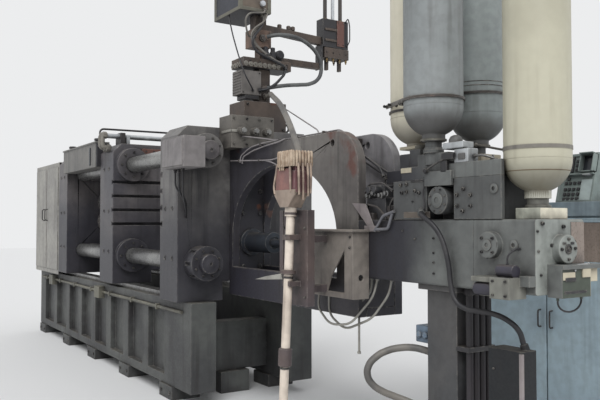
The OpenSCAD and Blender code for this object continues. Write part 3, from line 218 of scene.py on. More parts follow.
class Effects:
    """The effects that several finishes share, each a node group that is built once."""

    def _group(self, name: str, inputs: dict[str, float]) -> tuple[Graph, dict]:
        """Starts a group with one output, its mask.

        Args:
            name: The group's name.
            inputs: Its inputs and their usual values.

        Returns:
            The graph, and its input and output sockets by name.
        """
        tree = bpy.data.node_groups.new(name, "ShaderNodeTree")
        for key, value in inputs.items():
            tree.interface.new_socket(
                key, in_out="INPUT", socket_type="NodeSocketFloat"
            ).default_value = value
        tree.interface.new_socket(MASK, in_out="OUTPUT", socket_type="NodeSocketFloat")
        sockets = dict(tree.nodes.new("NodeGroupInput").outputs.items())
        sockets[MASK] = tree.nodes.new("NodeGroupOutput").inputs[MASK]
        return Graph(tree), sockets

    def mottle(self) -> None:
        """Large uneven patches of tone."""
        g, s = self._group("mottle", {"Scale": 2.0})
        broad = g.noise(g.place(), s["Scale"], 7.0)
        g.feed(g.step(broad, 0.36, 0.66), s[MASK])

    def runs(self) -> None:
        """Dirt and oil that ran down the walls."""
        g, s = self._group("runs", {"Scale": 16.0, "Cover": 0.3})
        flat = g.node("ShaderNodeMapping", {0: g.place(), 3: (1.0, 1.0, 0.07)}).outputs[0]
        thin = g.noise(flat, s["Scale"], 3.0)
        broad = g.noise(g.place(), 1.7, 3.0)
        both = g.math("MULTIPLY", g.step(thin, 0.46, 0.72), g.step(broad, 0.35, 0.6))
        g.feed(g.math("MULTIPLY", both, s["Cover"]), s[MASK])

    def patches(self) -> None:
        """Ragged spots of rust or scorched paint."""
        g, s = self._group("patches", {"Scale": 5.0, "Cover": 0.3})
        spots = g.noise(g.place(), s["Scale"], 9.0)
        edge = g.math("SUBTRACT", 0.78, g.math("MULTIPLY", s["Cover"], 0.42))
        g.feed(g.step(spots, edge, g.math("ADD", edge, 0.07)), s[MASK])

    def corners(self) -> None:
        """Dirt and painted shade where surfaces meet: darker where ambient occlusion finds the surface
        sheltered.
        """
        g, s = self._group("corners", {"Reach": 0.12})
        shelter = g.node("ShaderNodeAmbientOcclusion", {"Distance": s["Reach"]}, samples=6)
        broken = g.math("MULTIPLY", g.math("SUBTRACT", 1.0, shelter.outputs["AO"]), 1.5)
        rough = g.step(g.noise(g.place(), 9.0, 5.0), 0.25, 0.6)
        g.feed(g.math("MULTIPLY", broken, rough), s[MASK])

    def edges(self) -> None:
        """Edges that hands and tools rubbed bare."""
        g, s = self._group("edges", {"Width": 0.008})
        soft = g.node("ShaderNodeBevel", {"Radius": s["Width"]}, samples=4)
        true = g.node("ShaderNodeNewGeometry").outputs["Normal"]
        dot = g.node("ShaderNodeVectorMath", {0: soft.outputs[0], 1: true}, operation="DOT_PRODUCT")
        bend = g.math("SUBTRACT", 1.0, dot.outputs["Value"])
        chipped = g.step(g.noise(g.place(), 26.0, 6.0), 0.42, 0.6)
        g.feed(g.math("MULTIPLY", g.step(bend, 0.01, 0.09), chipped), s[MASK])

    def settled(self) -> None:
        """Dust and chips of metal that lie on upward faces."""
        g, s = self._group("settled", {"Cover": 0.5})
        normal = g.node("ShaderNodeNewGeometry").outputs["Normal"]
        up = g.node("ShaderNodeSeparateXYZ", {0: normal}).outputs[2]
        lumps = g.step(g.noise(g.place(), 7.0, 6.0), 0.3, 0.62)
        flat = g.math("MULTIPLY", g.step(up, 0.55, 0.95), lumps)
        g.feed(g.math("MULTIPLY", flat, s["Cover"]), s[MASK])

    def build(self) -> None:
        """Builds every group."""
        for group in (self.mottle, self.runs, self.patches, self.corners, self.edges, self.settled):
            group()
            LOG.info("effect %s", group.__name__)


@dataclass(frozen=True)
class Shade:
    """A slow change of tone along one direction of the machine."""

    axis: int
    start: float
    end: float
    tone: Rgb
    amount: float = 0.8


@dataclass(frozen=True)
class Coat:
    """What every surface has: a name, a material slot and a material that is built once."""

    name: str
    slot: str

    def material(self) -> bpy.types.Material:
        """The material of this surface, built the first time that it is asked for."""
        made = bpy.data.materials.get(self.name + "_finish")
        if made:
            return made
        made = bpy.data.materials.new(self.name + "_finish")
        made.use_nodes = True
        self.paint(Graph(made.node_tree), made.node_tree.nodes["Principled BSDF"].inputs)
        return made

    def paint(self, g: Graph, shader: bpy.types.bpy_prop_collection) -> None:
        """Feeds the shader's inputs; each kind of surface has its own way.

        Args:
            g: The material's graph.
            shader: The shader's inputs.
        """
        raise NotImplementedError


@dataclass(frozen=True)
class Finish(Coat):
    """A painted, rusty or bare surface, what years of work did to it, and painted shade in its corners and, for
    some, along one direction.
    """

    colour: Rgb
    faded: Rgb
    # colour of dirt, also laid as painted shade in sheltered corners
    grime_and_shade: Rgb = (38, 35, 36)
    rust: Rgb = RUST_BROWN
    bare: Rgb = (158, 154, 146)
    dust: Rgb = (128, 120, 108)
    mottle_scale: float = 2.0
    # how strongly dirt and painted shade darken sheltered corners
    corner_dirt_and_shade: float = 0.75
    runny: float = 0.45
    rusty: float = 0.1
    rust_scale: float = 5.0
    worn: float = 0.7
    dusty: float = 0.35
    specked: float = 0.16
    roughness: float = 0.58
    metal: float = 0.0
    relief: float = 0.25
    shade: Shade | None = None
    # a second change along one direction, used as painted shade
    painted_shade: Shade | None = None

    def _effect(self, g: Graph, name: str, **values: float) -> Socket:
        """Places one shared effect.

        Args:
            g: The material's graph.
            name: The effect's name.
            values: Its input values.

        Returns:
            The mask's socket.
        """
        return g.node("ShaderNodeGroup", values, node_tree=bpy.data.node_groups[name]).outputs[MASK]

    def paint(self, g: Graph, shader: bpy.types.bpy_prop_collection) -> None:
        """Lays fading, shades along the machine (the second of them painted shade), specks, rust, runs, dust,
        dirt and painted shade in corners, and bare edges over each other.

        Args:
            g: The material's graph.
            shader: The shader's inputs.
        """
        mottled = self._effect(g, "mottle", Scale=self.mottle_scale)
        colour = g.mix(mottled, linear(self.colour), linear(self.faded))
        # the second change, used on the cheeks, is painted shade
        for shade in filter(None, (self.shade, self.painted_shade)):
            colour = self._shaded(g, colour, shade)
        specks = self._effect(g, "mottle", Scale=self.mottle_scale * 9)
        colour = g.mix(g.math("MULTIPLY", specks, self.specked), colour, linear(self.grime_and_shade))
        rust = self._effect(g, "patches", Scale=self.rust_scale, Cover=self.rusty)
        colour = g.mix(rust, colour, linear(self.rust))
        runs = self._effect(g, "runs", Cover=self.runny)
        colour = g.mix(runs, colour, linear(self.grime_and_shade))
        dust = self._effect(g, "settled", Cover=self.dusty)
        colour = g.mix(dust, colour, linear(self.dust))
        # dirt and painted shade in sheltered corners, found by ambient occlusion
        corners = g.math("MULTIPLY", self._effect(g, "corners"), self.corner_dirt_and_shade)
        colour = g.mix(corners, colour, linear(self.grime_and_shade))
        edges = g.math("MULTIPLY", self._effect(g, "edges"), self.worn)
        colour = g.mix(edges, colour, linear(self.bare))
        g.feed(colour, shader["Base Color"])
        fine = g.noise(g.place(), 60.0, 5.0)
        dull = g.math("ADD", g.math("MULTIPLY", fine, 0.3), self.roughness - 0.15)
        g.feed(g.math("ADD", dull, g.math("MULTIPLY", rust, 0.3)), shader["Roughness"])
        clean = g.math("SUBTRACT", 1.0, g.math("ADD", rust, g.math("ADD", runs, corners)))
        bare = g.math("MULTIPLY", g.math("ADD", edges, self.metal), clean)
        g.feed(g.math("MULTIPLY", bare, 0.85), shader["Metallic"])
        height = g.math("ADD", g.math("MULTIPLY", fine, 0.5), g.math("MULTIPLY", rust, 0.5))
        bump = g.node("ShaderNodeBump", {"Strength": self.relief, "Distance": BUMP_DEPTH, "Height": height})
        g.feed(bump.outputs[0], shader["Normal"])

    def _shaded(self, g: Graph, colour: Socket, shade: Shade) -> Socket:
        """Darkens or tints the colour along one direction, with a ragged edge.

        Args:
            g: The material's graph.
            colour: The colour so far.
            shade: Where the change starts and ends, and its tone.

        Returns:
            The changed colour's socket.
        """
        along = g.node("ShaderNodeSeparateXYZ", {0: g.place()}).outputs[shade.axis]
        spread = abs(shade.end - shade.start)
        wobble = g.node("ShaderNodeMath", {0: g.noise(g.place(), 2.6, 5.0), 1: spread}, operation="MULTIPLY")
        ragged = g.node("ShaderNodeMath", {0: along, 1: wobble.outputs[0]}, operation="ADD").outputs[0]
        shift = spread / 2
        mask = g.step(ragged, shade.start + shift, shade.end + shift)
        return g.mix(g.math("MULTIPLY", mask, shade.amount), colour, linear(shade.tone))


BED_PAINT = Finish("bed_paint", "bed_paint", (84, 86, 84), (62, 63, 64), corner_dirt_and_shade=0.9, runny=0.6)
GREASY_IRON = Finish(
    "greasy_iron", "platen_paint", (98, 94, 95), (68, 67, 73), rusty=0.16, runny=0.65,
    grime_and_shade=(30, 29, 34), roughness=0.46, shade=Shade(2, 2.0, 1.3, (44, 44, 52), 0.85),
)
BRIGHT_STEEL = Finish(
    "bright_steel", "bright_steel", (150, 150, 148), (118, 118, 118), metal=0.9, roughness=0.3,
    rusty=0.05, runny=0.3, dusty=0.15, relief=0.08,
)
LINK_IRON = Finish("link_iron", "link_iron", (74, 68, 64), (52, 50, 52), roughness=0.42, rusty=0.2)
GUARD_PAINT = Finish(
    "guard_paint", "guard_paint", (112, 110, 98), (92, 91, 84), runny=0.5, rusty=0.08, dust=(146, 140, 126),
)
# its second change darkens it towards the clamp end with painted shade
FRAME_RUST = Finish(
    "frame_rust", "frame_rust", (120, 116, 112), (98, 94, 92), rust=(106, 78, 72), rusty=0.38,
    rust_scale=2.4, runny=0.55, worn=0.9, bare=(176, 172, 162), shade=Shade(2, 1.5, 1.0, (48, 46, 54), 0.9),
    painted_shade=Shade(0, 1.62, 1.05, (46, 45, 55), 0.9),
)
BLOCK_PAINT = Finish(
    "block_paint", "block_paint", (113, 116, 114), (99, 102, 101), rust=(88, 70, 60), runny=0.5,
    rusty=0.15, rust_scale=8.0, dust=(140, 139, 131), shade=Shade(0, 3.14, 2.72, (37, 37, 46), 0.96),
)
CREAM_PAINT = Finish(
    "cream_paint", "cream_paint", (196, 193, 173), (184, 181, 162), grime_and_shade=(118, 108, 90), rust=(88, 70, 56),
    rusty=0.07, rust_scale=30.0, runny=0.25, corner_dirt_and_shade=0.5, worn=0.2, dusty=0.2, roughness=0.5,
    shade=Shade(2, 1.97, 1.79, (112, 109, 99), 0.8), specked=0.05,
)
# a lighter copy of the cream paint: painted light on the left bottle
CREAM_LIT = replace(
    CREAM_PAINT, name="cream_bright", colour=(228, 223, 204), faded=(214, 209, 190), rust=RUST_BROWN,
    rusty=0.05, runny=0.2, shade=Shade(2, 2.31, 2.13, (150, 146, 136), 0.9),
)
# a lighter cream for the end bottle's neck: painted light on the shadowed neck
NECK_CREAM_LIT = Finish("neck_cream", "cream_paint", (212, 211, 198), (194, 193, 180), runny=0.2, corner_dirt_and_shade=0.35)
# a darker copy of the base's cream: painted shade on the face beside the bottle
BASE_CREAM_SHADED = Finish("base_pale", "block_paint", (206, 208, 193), (190, 192, 178), runny=0.25, worn=0.2)
# a lighter copy of the base's cream: painted light on its end face
BASE_CREAM_LIT = Finish("base_cream", "block_paint", (246, 241, 222), (232, 226, 206), runny=0.15, worn=0.2)
BOX_DARK = Finish("box_dark", "guard_paint", (58, 60, 69), (48, 50, 58), runny=0.4, roughness=0.55)
GREY_PAINT = Finish(
    "grey_paint", "grey_paint", (144, 149, 150), (131, 136, 137), grime_and_shade=(70, 68, 64), runny=0.35,
    rusty=0.03, rust_scale=9.0, worn=0.2, roughness=0.5, shade=Shade(2, 2.29, 2.19, (84, 82, 81), 0.85),
)
# a lighter copy of the grey paint: painted light on the far bottle
FAR_GREY_LIT = replace(
    GREY_PAINT, name="far_grey", colour=(155, 163, 163), faded=(142, 149, 149),
    shade=Shade(2, 2.29, 2.19, (104, 103, 102), 0.85),
)
BEIGE_PAINT = Finish(
    "beige_paint", "beige_paint", (138, 131, 124), (122, 115, 110), rust=(88, 70, 58), rusty=0.14,
    runny=0.5, dust=(160, 150, 134),
)
SPRAYER_IRON = Finish(
    "sprayer_iron", "sprayer_iron", (86, 74, 66), (62, 56, 54), rust=(104, 62, 48), rusty=0.3, runny=0.6,
)
COPPER_TUBE = Finish(
    "copper_tube", "copper_tube", (196, 176, 158), (150, 132, 120), grime_and_shade=(70, 50, 46), mottle_scale=14.0,
    metal=0.15, roughness=0.5, rusty=0.2, rust=(112, 78, 72),
)
LANCE_PAINT = Finish(
    "lance_paint", "copper_tube", (126, 86, 90), (116, 90, 90), grime_and_shade=(72, 42, 46), mottle_scale=9.0,
    rust=(110, 60, 58), rusty=0.35, runny=0.6,
)
CABINET_PAINT = Finish(
    "cabinet_paint", "cabinet_paint", (169, 190, 200), (157, 177, 188), grime_and_shade=(96, 98, 96), runny=0.3,
    rusty=0.02, corner_dirt_and_shade=0.5, worn=0.3, roughness=0.45,
)
DARK_IRON = Finish("dark_iron", "link_iron", (46, 45, 48), (34, 34, 37), roughness=0.42, rusty=0.12)
BRASS = Finish("brass_fitting", "copper_tube", (150, 126, 80), (120, 100, 70), metal=0.8, roughness=0.35)
TANK_PAINT = Finish(
    "tank_paint", "guard_paint", (124, 122, 118), (106, 104, 102), runny=0.4, rusty=0.04, grime_and_shade=(58, 62, 66),
)
COVER_PAINT = Finish(
    "cover_paint", "guard_paint", (162, 160, 154), (146, 144, 140), runny=0.35, rusty=0.05,
    dust=(170, 164, 150),
)
LANCE_CREAM = Finish(
    "lance_cream", "cream_paint", (235, 223, 209), (212, 199, 185), grime_and_shade=(84, 66, 58), rust=(70, 54, 50),
    rusty=0.28, rust_scale=14.0, runny=0.5, worn=0.2, roughness=0.5,
)
CHANNEL_IRON = Finish(
    "channel_iron", "frame_rust", (97, 84, 81), (78, 73, 79), rust=(96, 66, 60), rusty=0.34, rust_scale=4.0,
)
VALVE_GREEN = Finish("valve_green", "block_paint", (76, 84, 74), (58, 64, 60), runny=0.5)
VALVE_CREAM = Finish(
    "valve_cream", "block_paint", (206, 198, 176), (186, 178, 158), grime_and_shade=(96, 86, 72), runny=0.35, worn=0.3,
)
SOLENOID = Finish("solenoid_paint", "block_paint", (58, 56, 68), (44, 43, 53), roughness=0.4)
SILVER = Finish(
    "silver_paint", "bright_steel", (196, 200, 202), (168, 172, 176), metal=0.3, runny=0.25, worn=0.3,
)
PALE_STEEL = Finish("pale_steel", "bright_steel", (178, 176, 168), (150, 148, 142), metal=0.4, runny=0.2)
CHROME = Finish(
    "chrome_rod", "bright_steel", (206, 210, 214), (186, 190, 196), metal=0.5, roughness=0.22, runny=0.1,
    rusty=0.0, relief=0.03,
)
PALE_BLUE = Finish("pale_blue", "bright_steel", (128, 146, 164), (104, 122, 140), runny=0.4)
BLUE_IRON = Finish("blue_iron", "link_iron", (114, 115, 121), (92, 93, 100), runny=0.4)
GUSSET_STEEL = Finish("gusset_steel", "link_iron", (150, 142, 142), (128, 120, 122), runny=0.35)
RED_IRON = Finish("red_iron", "sprayer_iron", (110, 76, 68), (90, 64, 58), rusty=0.2, runny=0.55)
GEARBOX_RUST = Finish(
    "gearbox_rust", "sprayer_iron", (130, 106, 92), (104, 88, 80), rust=(124, 82, 62), rusty=0.3, runny=0.5,
)
MANIFOLD_PAINT = Finish(
    "manifold_paint", "block_paint", (96, 98, 97), (82, 84, 84), rust=(92, 62, 56), rusty=0.14, runny=0.5,
    dust=(138, 138, 132), shade=Shade(0, 2.9, 2.3, (54, 53, 59), 0.85),
)
# a lighter copy of the block paint: painted light on the end face
END_FACE_LIT = Finish(
    "end_paint", "block_paint", (161, 166, 161), (149, 154, 150), rust=(96, 74, 64), rusty=0.05, runny=0.3,
)
# a darkened grey for the pillar: painted shade near the floor
PILLAR_SHADED = Finish("pillar_paint", "beige_paint", (86, 85, 85), (72, 73, 75), rusty=0.12, runny=0.6)
# a near-black for the low post: painted shade near the floor
POST_SHADED = Finish(
    "post_paint", "beige_paint", (30, 33, 36), (24, 27, 31), rusty=0.08, runny=0.5, worn=0.4,
    roughness=0.72,
)
BOX_PAINT = Finish(
    "box_paint", "guard_paint", (140, 136, 136), (122, 118, 119), runny=0.35, rusty=0.07,
    dust=(150, 146, 138),
)
# its second change darkens the far cheek towards the clamp end, inside the arch, with painted shade
FAR_FRAME = Finish(
    "far_frame", "frame_rust", (156, 154, 157), (130, 128, 132), rust=(106, 84, 78), rusty=0.25, runny=0.5,
    worn=0.9, bare=(176, 172, 162), shade=Shade(2, 1.5, 1.0, (48, 46, 54), 0.9),
    painted_shade=Shade(0, 1.75, 1.25, (38, 38, 48), 0.92),
)
# near-black for the flange face seen through the arch: painted shade
FLANGE_PAINTED_SHADE = Finish("flange_soot", "frame_rust", (44, 43, 50), (36, 36, 44), rusty=0.2, runny=0.5)
SLEEVE_STEEL = Finish(
    "sleeve_steel", "bright_steel", (74, 80, 88), (52, 56, 64), metal=0.6, roughness=0.38, rusty=0.1,
    runny=0.5,
)
PLATEN_FACE = Finish(
    "platen_face", "platen_paint", (118, 116, 114), (96, 94, 94), rusty=0.16, runny=0.6, grime_and_shade=(38, 37, 42),
    roughness=0.5, shade=Shade(2, 1.95, 1.35, (46, 46, 54), 0.85),
)
VALVE_IRON = Finish("valve_iron", "platen_paint", (118, 114, 108), (98, 95, 90), runny=0.45)
MOTOR_PAINT = Finish("motor_paint", "beige_paint", (118, 114, 111), (100, 97, 95), runny=0.45)
# near-black for dark parts, and painted shade on the undersides of the boom and the box
SOOT_AND_SHADE = Finish("soot_paint", "sprayer_iron", (38, 38, 44), (30, 30, 36), rusty=0.05, worn=0.3)
BROWN_PANEL = Finish("brown_panel", "sprayer_iron", (116, 104, 92), (98, 90, 82), rusty=0.15, runny=0.4)
FLANGE_BEIGE = Finish(
    "flange_beige", "copper_tube", (168, 152, 138), (150, 132, 120), rust=(112, 76, 66), rusty=0.15,
    runny=0.35,
)
LANCE_BLUSH = Finish(
    "lance_blush", "copper_tube", (148, 106, 99), (130, 97, 93), grime_and_shade=(92, 58, 54), mottle_scale=9.0,
    runny=0.5,
)
CROWN_TAN = Finish(
    "crown_tan", "copper_tube", (206, 188, 166), (166, 144, 122), grime_and_shade=(84, 58, 50), mottle_scale=16.0,
    runny=0.3, rusty=0.16, rust_scale=12.0, worn=0.3, roughness=0.5,
)
GREY_STRAP = Finish("grey_strap", "guard_paint", (134, 130, 122), (112, 109, 104), runny=0.4, rusty=0.15)
SIDE_VALVE = Finish("side_valve", "block_paint", (134, 134, 126), (116, 117, 111), runny=0.5)
LINE_GREY = Finish("line_grey", "bright_steel", (160, 155, 156), (132, 128, 130), runny=0.3, worn=0.2)
RUST_LINE = Finish("rust_line", "cream_paint", (104, 88, 66), (132, 116, 88), worn=0.0)
BLACK_PIPE = Finish("black_pipe", "hose_rubber", (36, 34, 38), (50, 46, 50), rusty=0.05, worn=0.2)
BLACK_PLASTIC = Finish(
    "black_plastic", "cabinet_paint", (34, 35, 38), (42, 43, 46), rusty=0.0, runny=0.1, worn=0.1,
    dusty=0.1, roughness=0.4,
)
DARK_GLASS = Finish(
    "dark_glass", "cabinet_paint", (34, 40, 50), (48, 56, 66), rusty=0.0, runny=0.15, worn=0.0,
    dusty=0.1, roughness=0.22, relief=0.03,
)
BROWN_GLASS = Finish(
    "brown_glass", "cabinet_paint", (158, 144, 134), (142, 130, 121), rusty=0.0, runny=0.2, worn=0.0,
    roughness=0.3, relief=0.05,
)
KEYPAD_PAINT = Finish(
    "keypad_paint", "cabinet_paint", (134, 146, 142), (122, 134, 132), runny=0.2, rusty=0.0, corner_dirt_and_shade=0.5,
    worn=0.2, roughness=0.5,
)
PALE_PLATE = Finish(
    "pale_plate", "cabinet_paint", (176, 188, 186), (164, 178, 180), runny=0.15, rusty=0.0, worn=0.1,
)
BLUE_DESK = Finish(
    "blue_desk", "cabinet_paint", (146, 162, 170), (134, 150, 160), runny=0.3, rusty=0.0, worn=0.3,
)


@dataclass(frozen=True)
class Rubber(Coat):
    """The cover of a hose, with fine rings across it and dried oil on it."""

    colour: Rgb
    worn: Rgb

    def paint(self, g: Graph, shader: bpy.types.bpy_prop_collection) -> None:
        """Lays worn patches over the rubber and roughens it.

        Args:
            g: The material's graph.
            shader: The shader's inputs.
        """
        patches = g.step(g.noise(g.place(), 7.0, 7.0), 0.38, 0.66)
        g.feed(g.mix(patches, linear(self.colour), linear(self.worn)), shader["Base Color"])
        fine = g.noise(g.place(), 90.0, 3.0)
        g.feed(g.math("ADD", g.math("MULTIPLY", fine, 0.4), 0.3), shader["Roughness"])
        bump = g.node("ShaderNodeBump", {"Strength": 0.3, "Distance": BUMP_DEPTH, "Height": fine})
        g.feed(bump.outputs[0], shader["Normal"])


GREY_RUBBER = Rubber("grey_rubber", "hose_rubber", (122, 118, 112), (92, 90, 88))
DARK_RUBBER = Rubber("dark_rubber", "hose_rubber", (34, 34, 38), (52, 51, 53))
PALE_RUBBER = Rubber("pale_rubber", "hose_rubber", (96, 98, 98), (70, 71, 73))


def deselect() -> None:
    """Leaves edit mode and selects nothing."""
    if bpy.context.object and bpy.context.object.mode != "OBJECT":
        bpy.ops.object.mode_set(mode="OBJECT")
    bpy.ops.object.select_all(action="DESELECT")


def take(piece: Piece) -> None:
    """Makes a piece the only selected one.

    Args:
        piece: The piece.
    """
    deselect()
    piece.select_set(True)
    bpy.context.view_layer.objects.active = piece


def freeze(piece: Piece) -> None:
    """Moves a piece's place, turn and scale into its mesh, and leaves it selected alone."""
    take(piece)
    bpy.ops.object.transform_apply(location=True, rotation=True, scale=True)


def put(name: str, data: bpy.types.ID) -> Piece:
    """Makes an object and puts it in the scene.

    Args:
        name: Its name.
        data: Its mesh, curve, lamp or camera.

    Returns:
        The object.
    """
    made = bpy.data.objects.new(name, data)
    bpy.context.scene.collection.objects.link(made)
    return made


def edit_all() -> None:
    """Goes to edit mode with all selected."""
    bpy.ops.object.mode_set(mode="EDIT")
    bpy.ops.mesh.select_all(action="SELECT")


def leave_edit() -> None:
    """Turns all faces outwards and leaves edit mode."""
    bpy.ops.mesh.select_all(action="SELECT")
    bpy.ops.mesh.normals_make_consistent(inside=False)
    bpy.ops.object.mode_set(mode="OBJECT")


def apply_modifiers(piece: Piece) -> None:
    """Applies a piece's modifiers in their order.

    Args:
        piece: The piece.
    """
    take(piece)
    for modifier in list(piece.modifiers):
        bpy.ops.object.modifier_apply(modifier=modifier.name)


def soften(piece: Piece, width: float) -> None:
    """Rounds a piece's edges, with two faces across each, and shades it smooth.

    Args:
        piece: The piece.
        width: Width of the rounding.
    """
    bevel = piece.modifiers.new("edges", "BEVEL")
    bevel.width = width
    bevel.segments = 2
    bevel.limit_method = "ANGLE"
    bevel.angle_limit = math.radians(32.0)
    bevel.use_clamp_overlap = False
    weight = piece.modifiers.new("shading", "WEIGHTED_NORMAL")
    weight.keep_sharp = True
    take(piece)
    bpy.ops.object.shade_smooth()
    apply_modifiers(piece)


def seat(piece: Piece, name: str, finish: Finish | Rubber, body: str = MACHINE) -> Piece:
    """Names a finished piece, gives it its finish and lets it ride on its body.

    Args:
        piece: The piece, in its place.
        name: Its name.
        finish: Its finish.
        body: The body that carries it.

    Returns:
        The piece.
    """
    freeze(piece)
    piece.name = name
    piece.data.name = name
    piece.data.materials.clear()
    piece.data.materials.append(finish.material())
    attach(piece, body)
    return piece


def dress(node: str, finish: Finish, edge: float = EDGE_PLAIN, body: str = MACHINE) -> Piece:
    """Makes the shown piece of a CAD node: the same shape with rounded edges and its finish.

    Args:
        node: The node's name.
        finish: Its finish.
        edge: Width of the rounding at its edges.
        body: The body that carries it.

    Returns:
        The piece.
    """
    piece = put(node + "_skin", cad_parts[node].data.copy())
    take(piece)
    edit_all()
    bpy.ops.mesh.remove_doubles(threshold=0.00002)
    flat = math.radians(0.5)
    bpy.ops.mesh.tris_convert_to_quads(face_threshold=flat, shape_threshold=flat)
    bpy.ops.mesh.customdata_custom_splitnormals_clear()
    bpy.ops.object.mode_set(mode="OBJECT")
    soften(piece, edge)
    seat(piece, node + "_skin", finish, body)
    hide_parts(node)
    return piece


def dress_all(finish: Finish, edge: float, *nodes: str) -> None:
    """Makes the shown pieces of several CAD nodes of the machine's body that share a finish.

    Args:
        finish: Their finish.
        edge: Width of the rounding at their edges.
        nodes: The nodes' names.
    """
    for node in nodes:
        dress(node, finish, edge)


def join(parts: list[Piece]) -> Piece:
    """Joins parts into the first one.

    Args:
        parts: The parts.

    Returns:
        The joined piece.
    """
    deselect()
    for part in parts:
        part.select_set(True)
    bpy.context.view_layer.objects.active = parts[0]
    if len(parts) > 1:
        bpy.ops.object.join()
    return parts[0]


def copies(model: Piece, places: Iterable[Matrix]) -> Piece:
    """Repeats a model at several places, as one piece, and removes the model.

    Args:
        model: What is repeated, around the origin.
        places: Where each copy goes.

    Returns:
        The joined copies.
    """
    made = []
    for place in places:
        copy = model.copy()
        copy.data = model.data.copy()
        copy.matrix_world = place
        bpy.context.scene.collection.objects.link(copy)
        made.append(copy)
    bpy.data.objects.remove(model)
    return join(made)


def slab(low: Point, high: Point, edge: float = EDGE_SMALL) -> Piece:
    """Makes a plate or block with rounded edges.

    Args:
        low: Its lowest corner.
        high: Its highest corner.
        edge: Width of the rounding.

    Returns:
        The block.
    """
    size = [b - a for a, b in zip(low, high)]
    middle = [(a + b) / 2 for a, b in zip(low, high)]
    bpy.ops.mesh.primitive_cube_add(size=1, location=middle, scale=size)
    piece = bpy.context.object
    freeze(piece)
    soften(piece, min(edge, min(size) / 4))
    return piece


def turned(profile: Profile, sides: int) -> Piece:
    """Makes a round part along Z, from its lowest ring up, by extruding and scaling a disc.

    Args:
        profile: Radius and height of each ring.
        sides: Faces round it.

    Returns:
        The part, around the origin.
    """
    radius, height = profile[0]
    bpy.ops.mesh.primitive_circle_add(
        vertices=sides, radius=radius, location=(0, 0, height), fill_type="NGON"
    )
    piece = bpy.context.object
    freeze(piece)
    edit_all()
    for wide, top in profile[1:]:
        bpy.ops.mesh.extrude_region_move(TRANSFORM_OT_translate={"value": (0, 0, top - height)})
        bpy.ops.transform.resize(value=(wide / radius, wide / radius, 1))
        radius, height = wide, top
    leave_edit()
    bpy.ops.object.shade_smooth_by_angle(angle=math.radians(35))
    return piece


def screw_head(size: float, head: Head) -> Piece:
    """Models one screw head, seated on the origin and looking along +Z.

    Args:
        size: The thread's diameter.
        head: The kind of head.

    Returns:
        The head.
    """
    if head is Head.HEX:
        return turned([(size, 0), (size, size * 0.6), (size * 0.85, size * 0.7)], 6)
    rim, key = size * 0.78, size * 0.45
    return turned([(rim, 0), (rim, size * 0.9), (rim * 0.9, size), (key, size), (key, key)], 12)


def screws(
    name: str,
    places: list[Point],
    facing: Facing,
    size: float,
    finish: Finish = DARK_IRON,
    head: Head = Head.SOCKET,
    body: str = MACHINE,
) -> Piece:
    """Places a set of screws as one piece.

    Args:
        name: The piece's name.
        places: Where each head is seated.
        facing: The way that the heads look.
        size: The thread's diameter.
        finish: Their finish.
        head: The kind of head.
        body: The body that carries them.

    Returns:
        The piece.
    """
    deselect()
    turn = facing.turn()
    piece = copies(screw_head(size, head), [Matrix.Translation(place) @ turn for place in places])
    return seat(piece, name, finish, body)


def circle(centre: Point, facing: Facing, radius: float, count: int, first: float = 0.0) -> list[Point]:
    """Places round a circle.

    Args:
        centre: The circle's centre.
        facing: The direction that the circle's plane looks.
        radius: The circle's radius.
        count: How many places.
        first: Angle of the first place in degrees.

    Returns:
        The places.
    """
    turn = facing.turn()
    angles = [math.radians(first + 360 * i / count) for i in range(count)]
    spokes = [Vector((radius * math.cos(a), radius * math.sin(a), 0)) for a in angles]
    return [tuple(Vector(centre) + turn @ spoke) for spoke in spokes]


def grid(along: Row, across: Row, up: Row) -> list[Point]:
    """All the places of a square pattern.

    Args:
        along: One place or several along the machine.
        across: One place or several across it.
        up: One height or several.

    Returns:
        The places, in order along, across and up.
    """
    rows = [row if isinstance(row, tuple) else (row,) for row in (along, across, up)]
    return list(product(*rows))


def on_side(side: int, low: Point, high: Point) -> Box:
    """Sets a box on one side of the machine's centre plane.

    Args:
        side: -1 for the operator's side and 1 for the far side.
        low: Its corner nearest the plane, with Y as the distance from the plane.
        high: Its farthest corner, likewise.

    Returns:
        The box's lowest and highest corner.
    """
    first, last = sorted((side * low[1], side * high[1]))
    return (low[0], first, low[2]), (high[0], last, high[2])


def rounded(points: list[Point], radius: float) -> list[Vector]:
    """Rounds the corners of a route.

    Args:
        points: The route's corners.
        radius: How far before and after a corner the round starts and ends.

    Returns:
        The route's points.
    """
    line = [Vector(p) for p in points]
    made = [line[0]]
    for before, corner, after in zip(line, line[1:], line[2:]):
        reach = min(radius, (corner - before).length / 2.01, (after - corner).length / 2.01)
        start = corner + (before - corner).normalized() * reach
        end = corner + (after - corner).normalized() * reach
        for i in range(BEND_STEPS + 1):
            t = i / BEND_STEPS
            made.append(start * (1 - t) ** 2 + corner * 2 * t * (1 - t) + end * t**2)
    return [*made, line[-1]]


def tube(points: list[Vector], diameter: float) -> Piece:
    """Sweeps a round bar along a route.

    Args:
        points: The route.
        diameter: The bar's diameter.

    Returns:
        The bar as a closed mesh.
    """
    curve = bpy.data.curves.new("route", "CURVE")
    curve.dimensions = "3D"
    spline = curve.splines.new("POLY")
    spline.points.add(len(points) - 1)
    for point, place in zip(spline.points, points):
        point.co = (*place, 1.0)
    curve.bevel_depth = diameter / 2
    curve.bevel_resolution = 4
    curve.use_fill_caps = True
    take(put("route", curve))
    bpy.ops.object.convert(target="MESH")
    piece = bpy.context.object
    edit_all()
    bpy.ops.mesh.remove_doubles(threshold=0.00001)
    leave_edit()
    bpy.ops.object.shade_smooth_by_angle(angle=math.radians(50))
    return piece


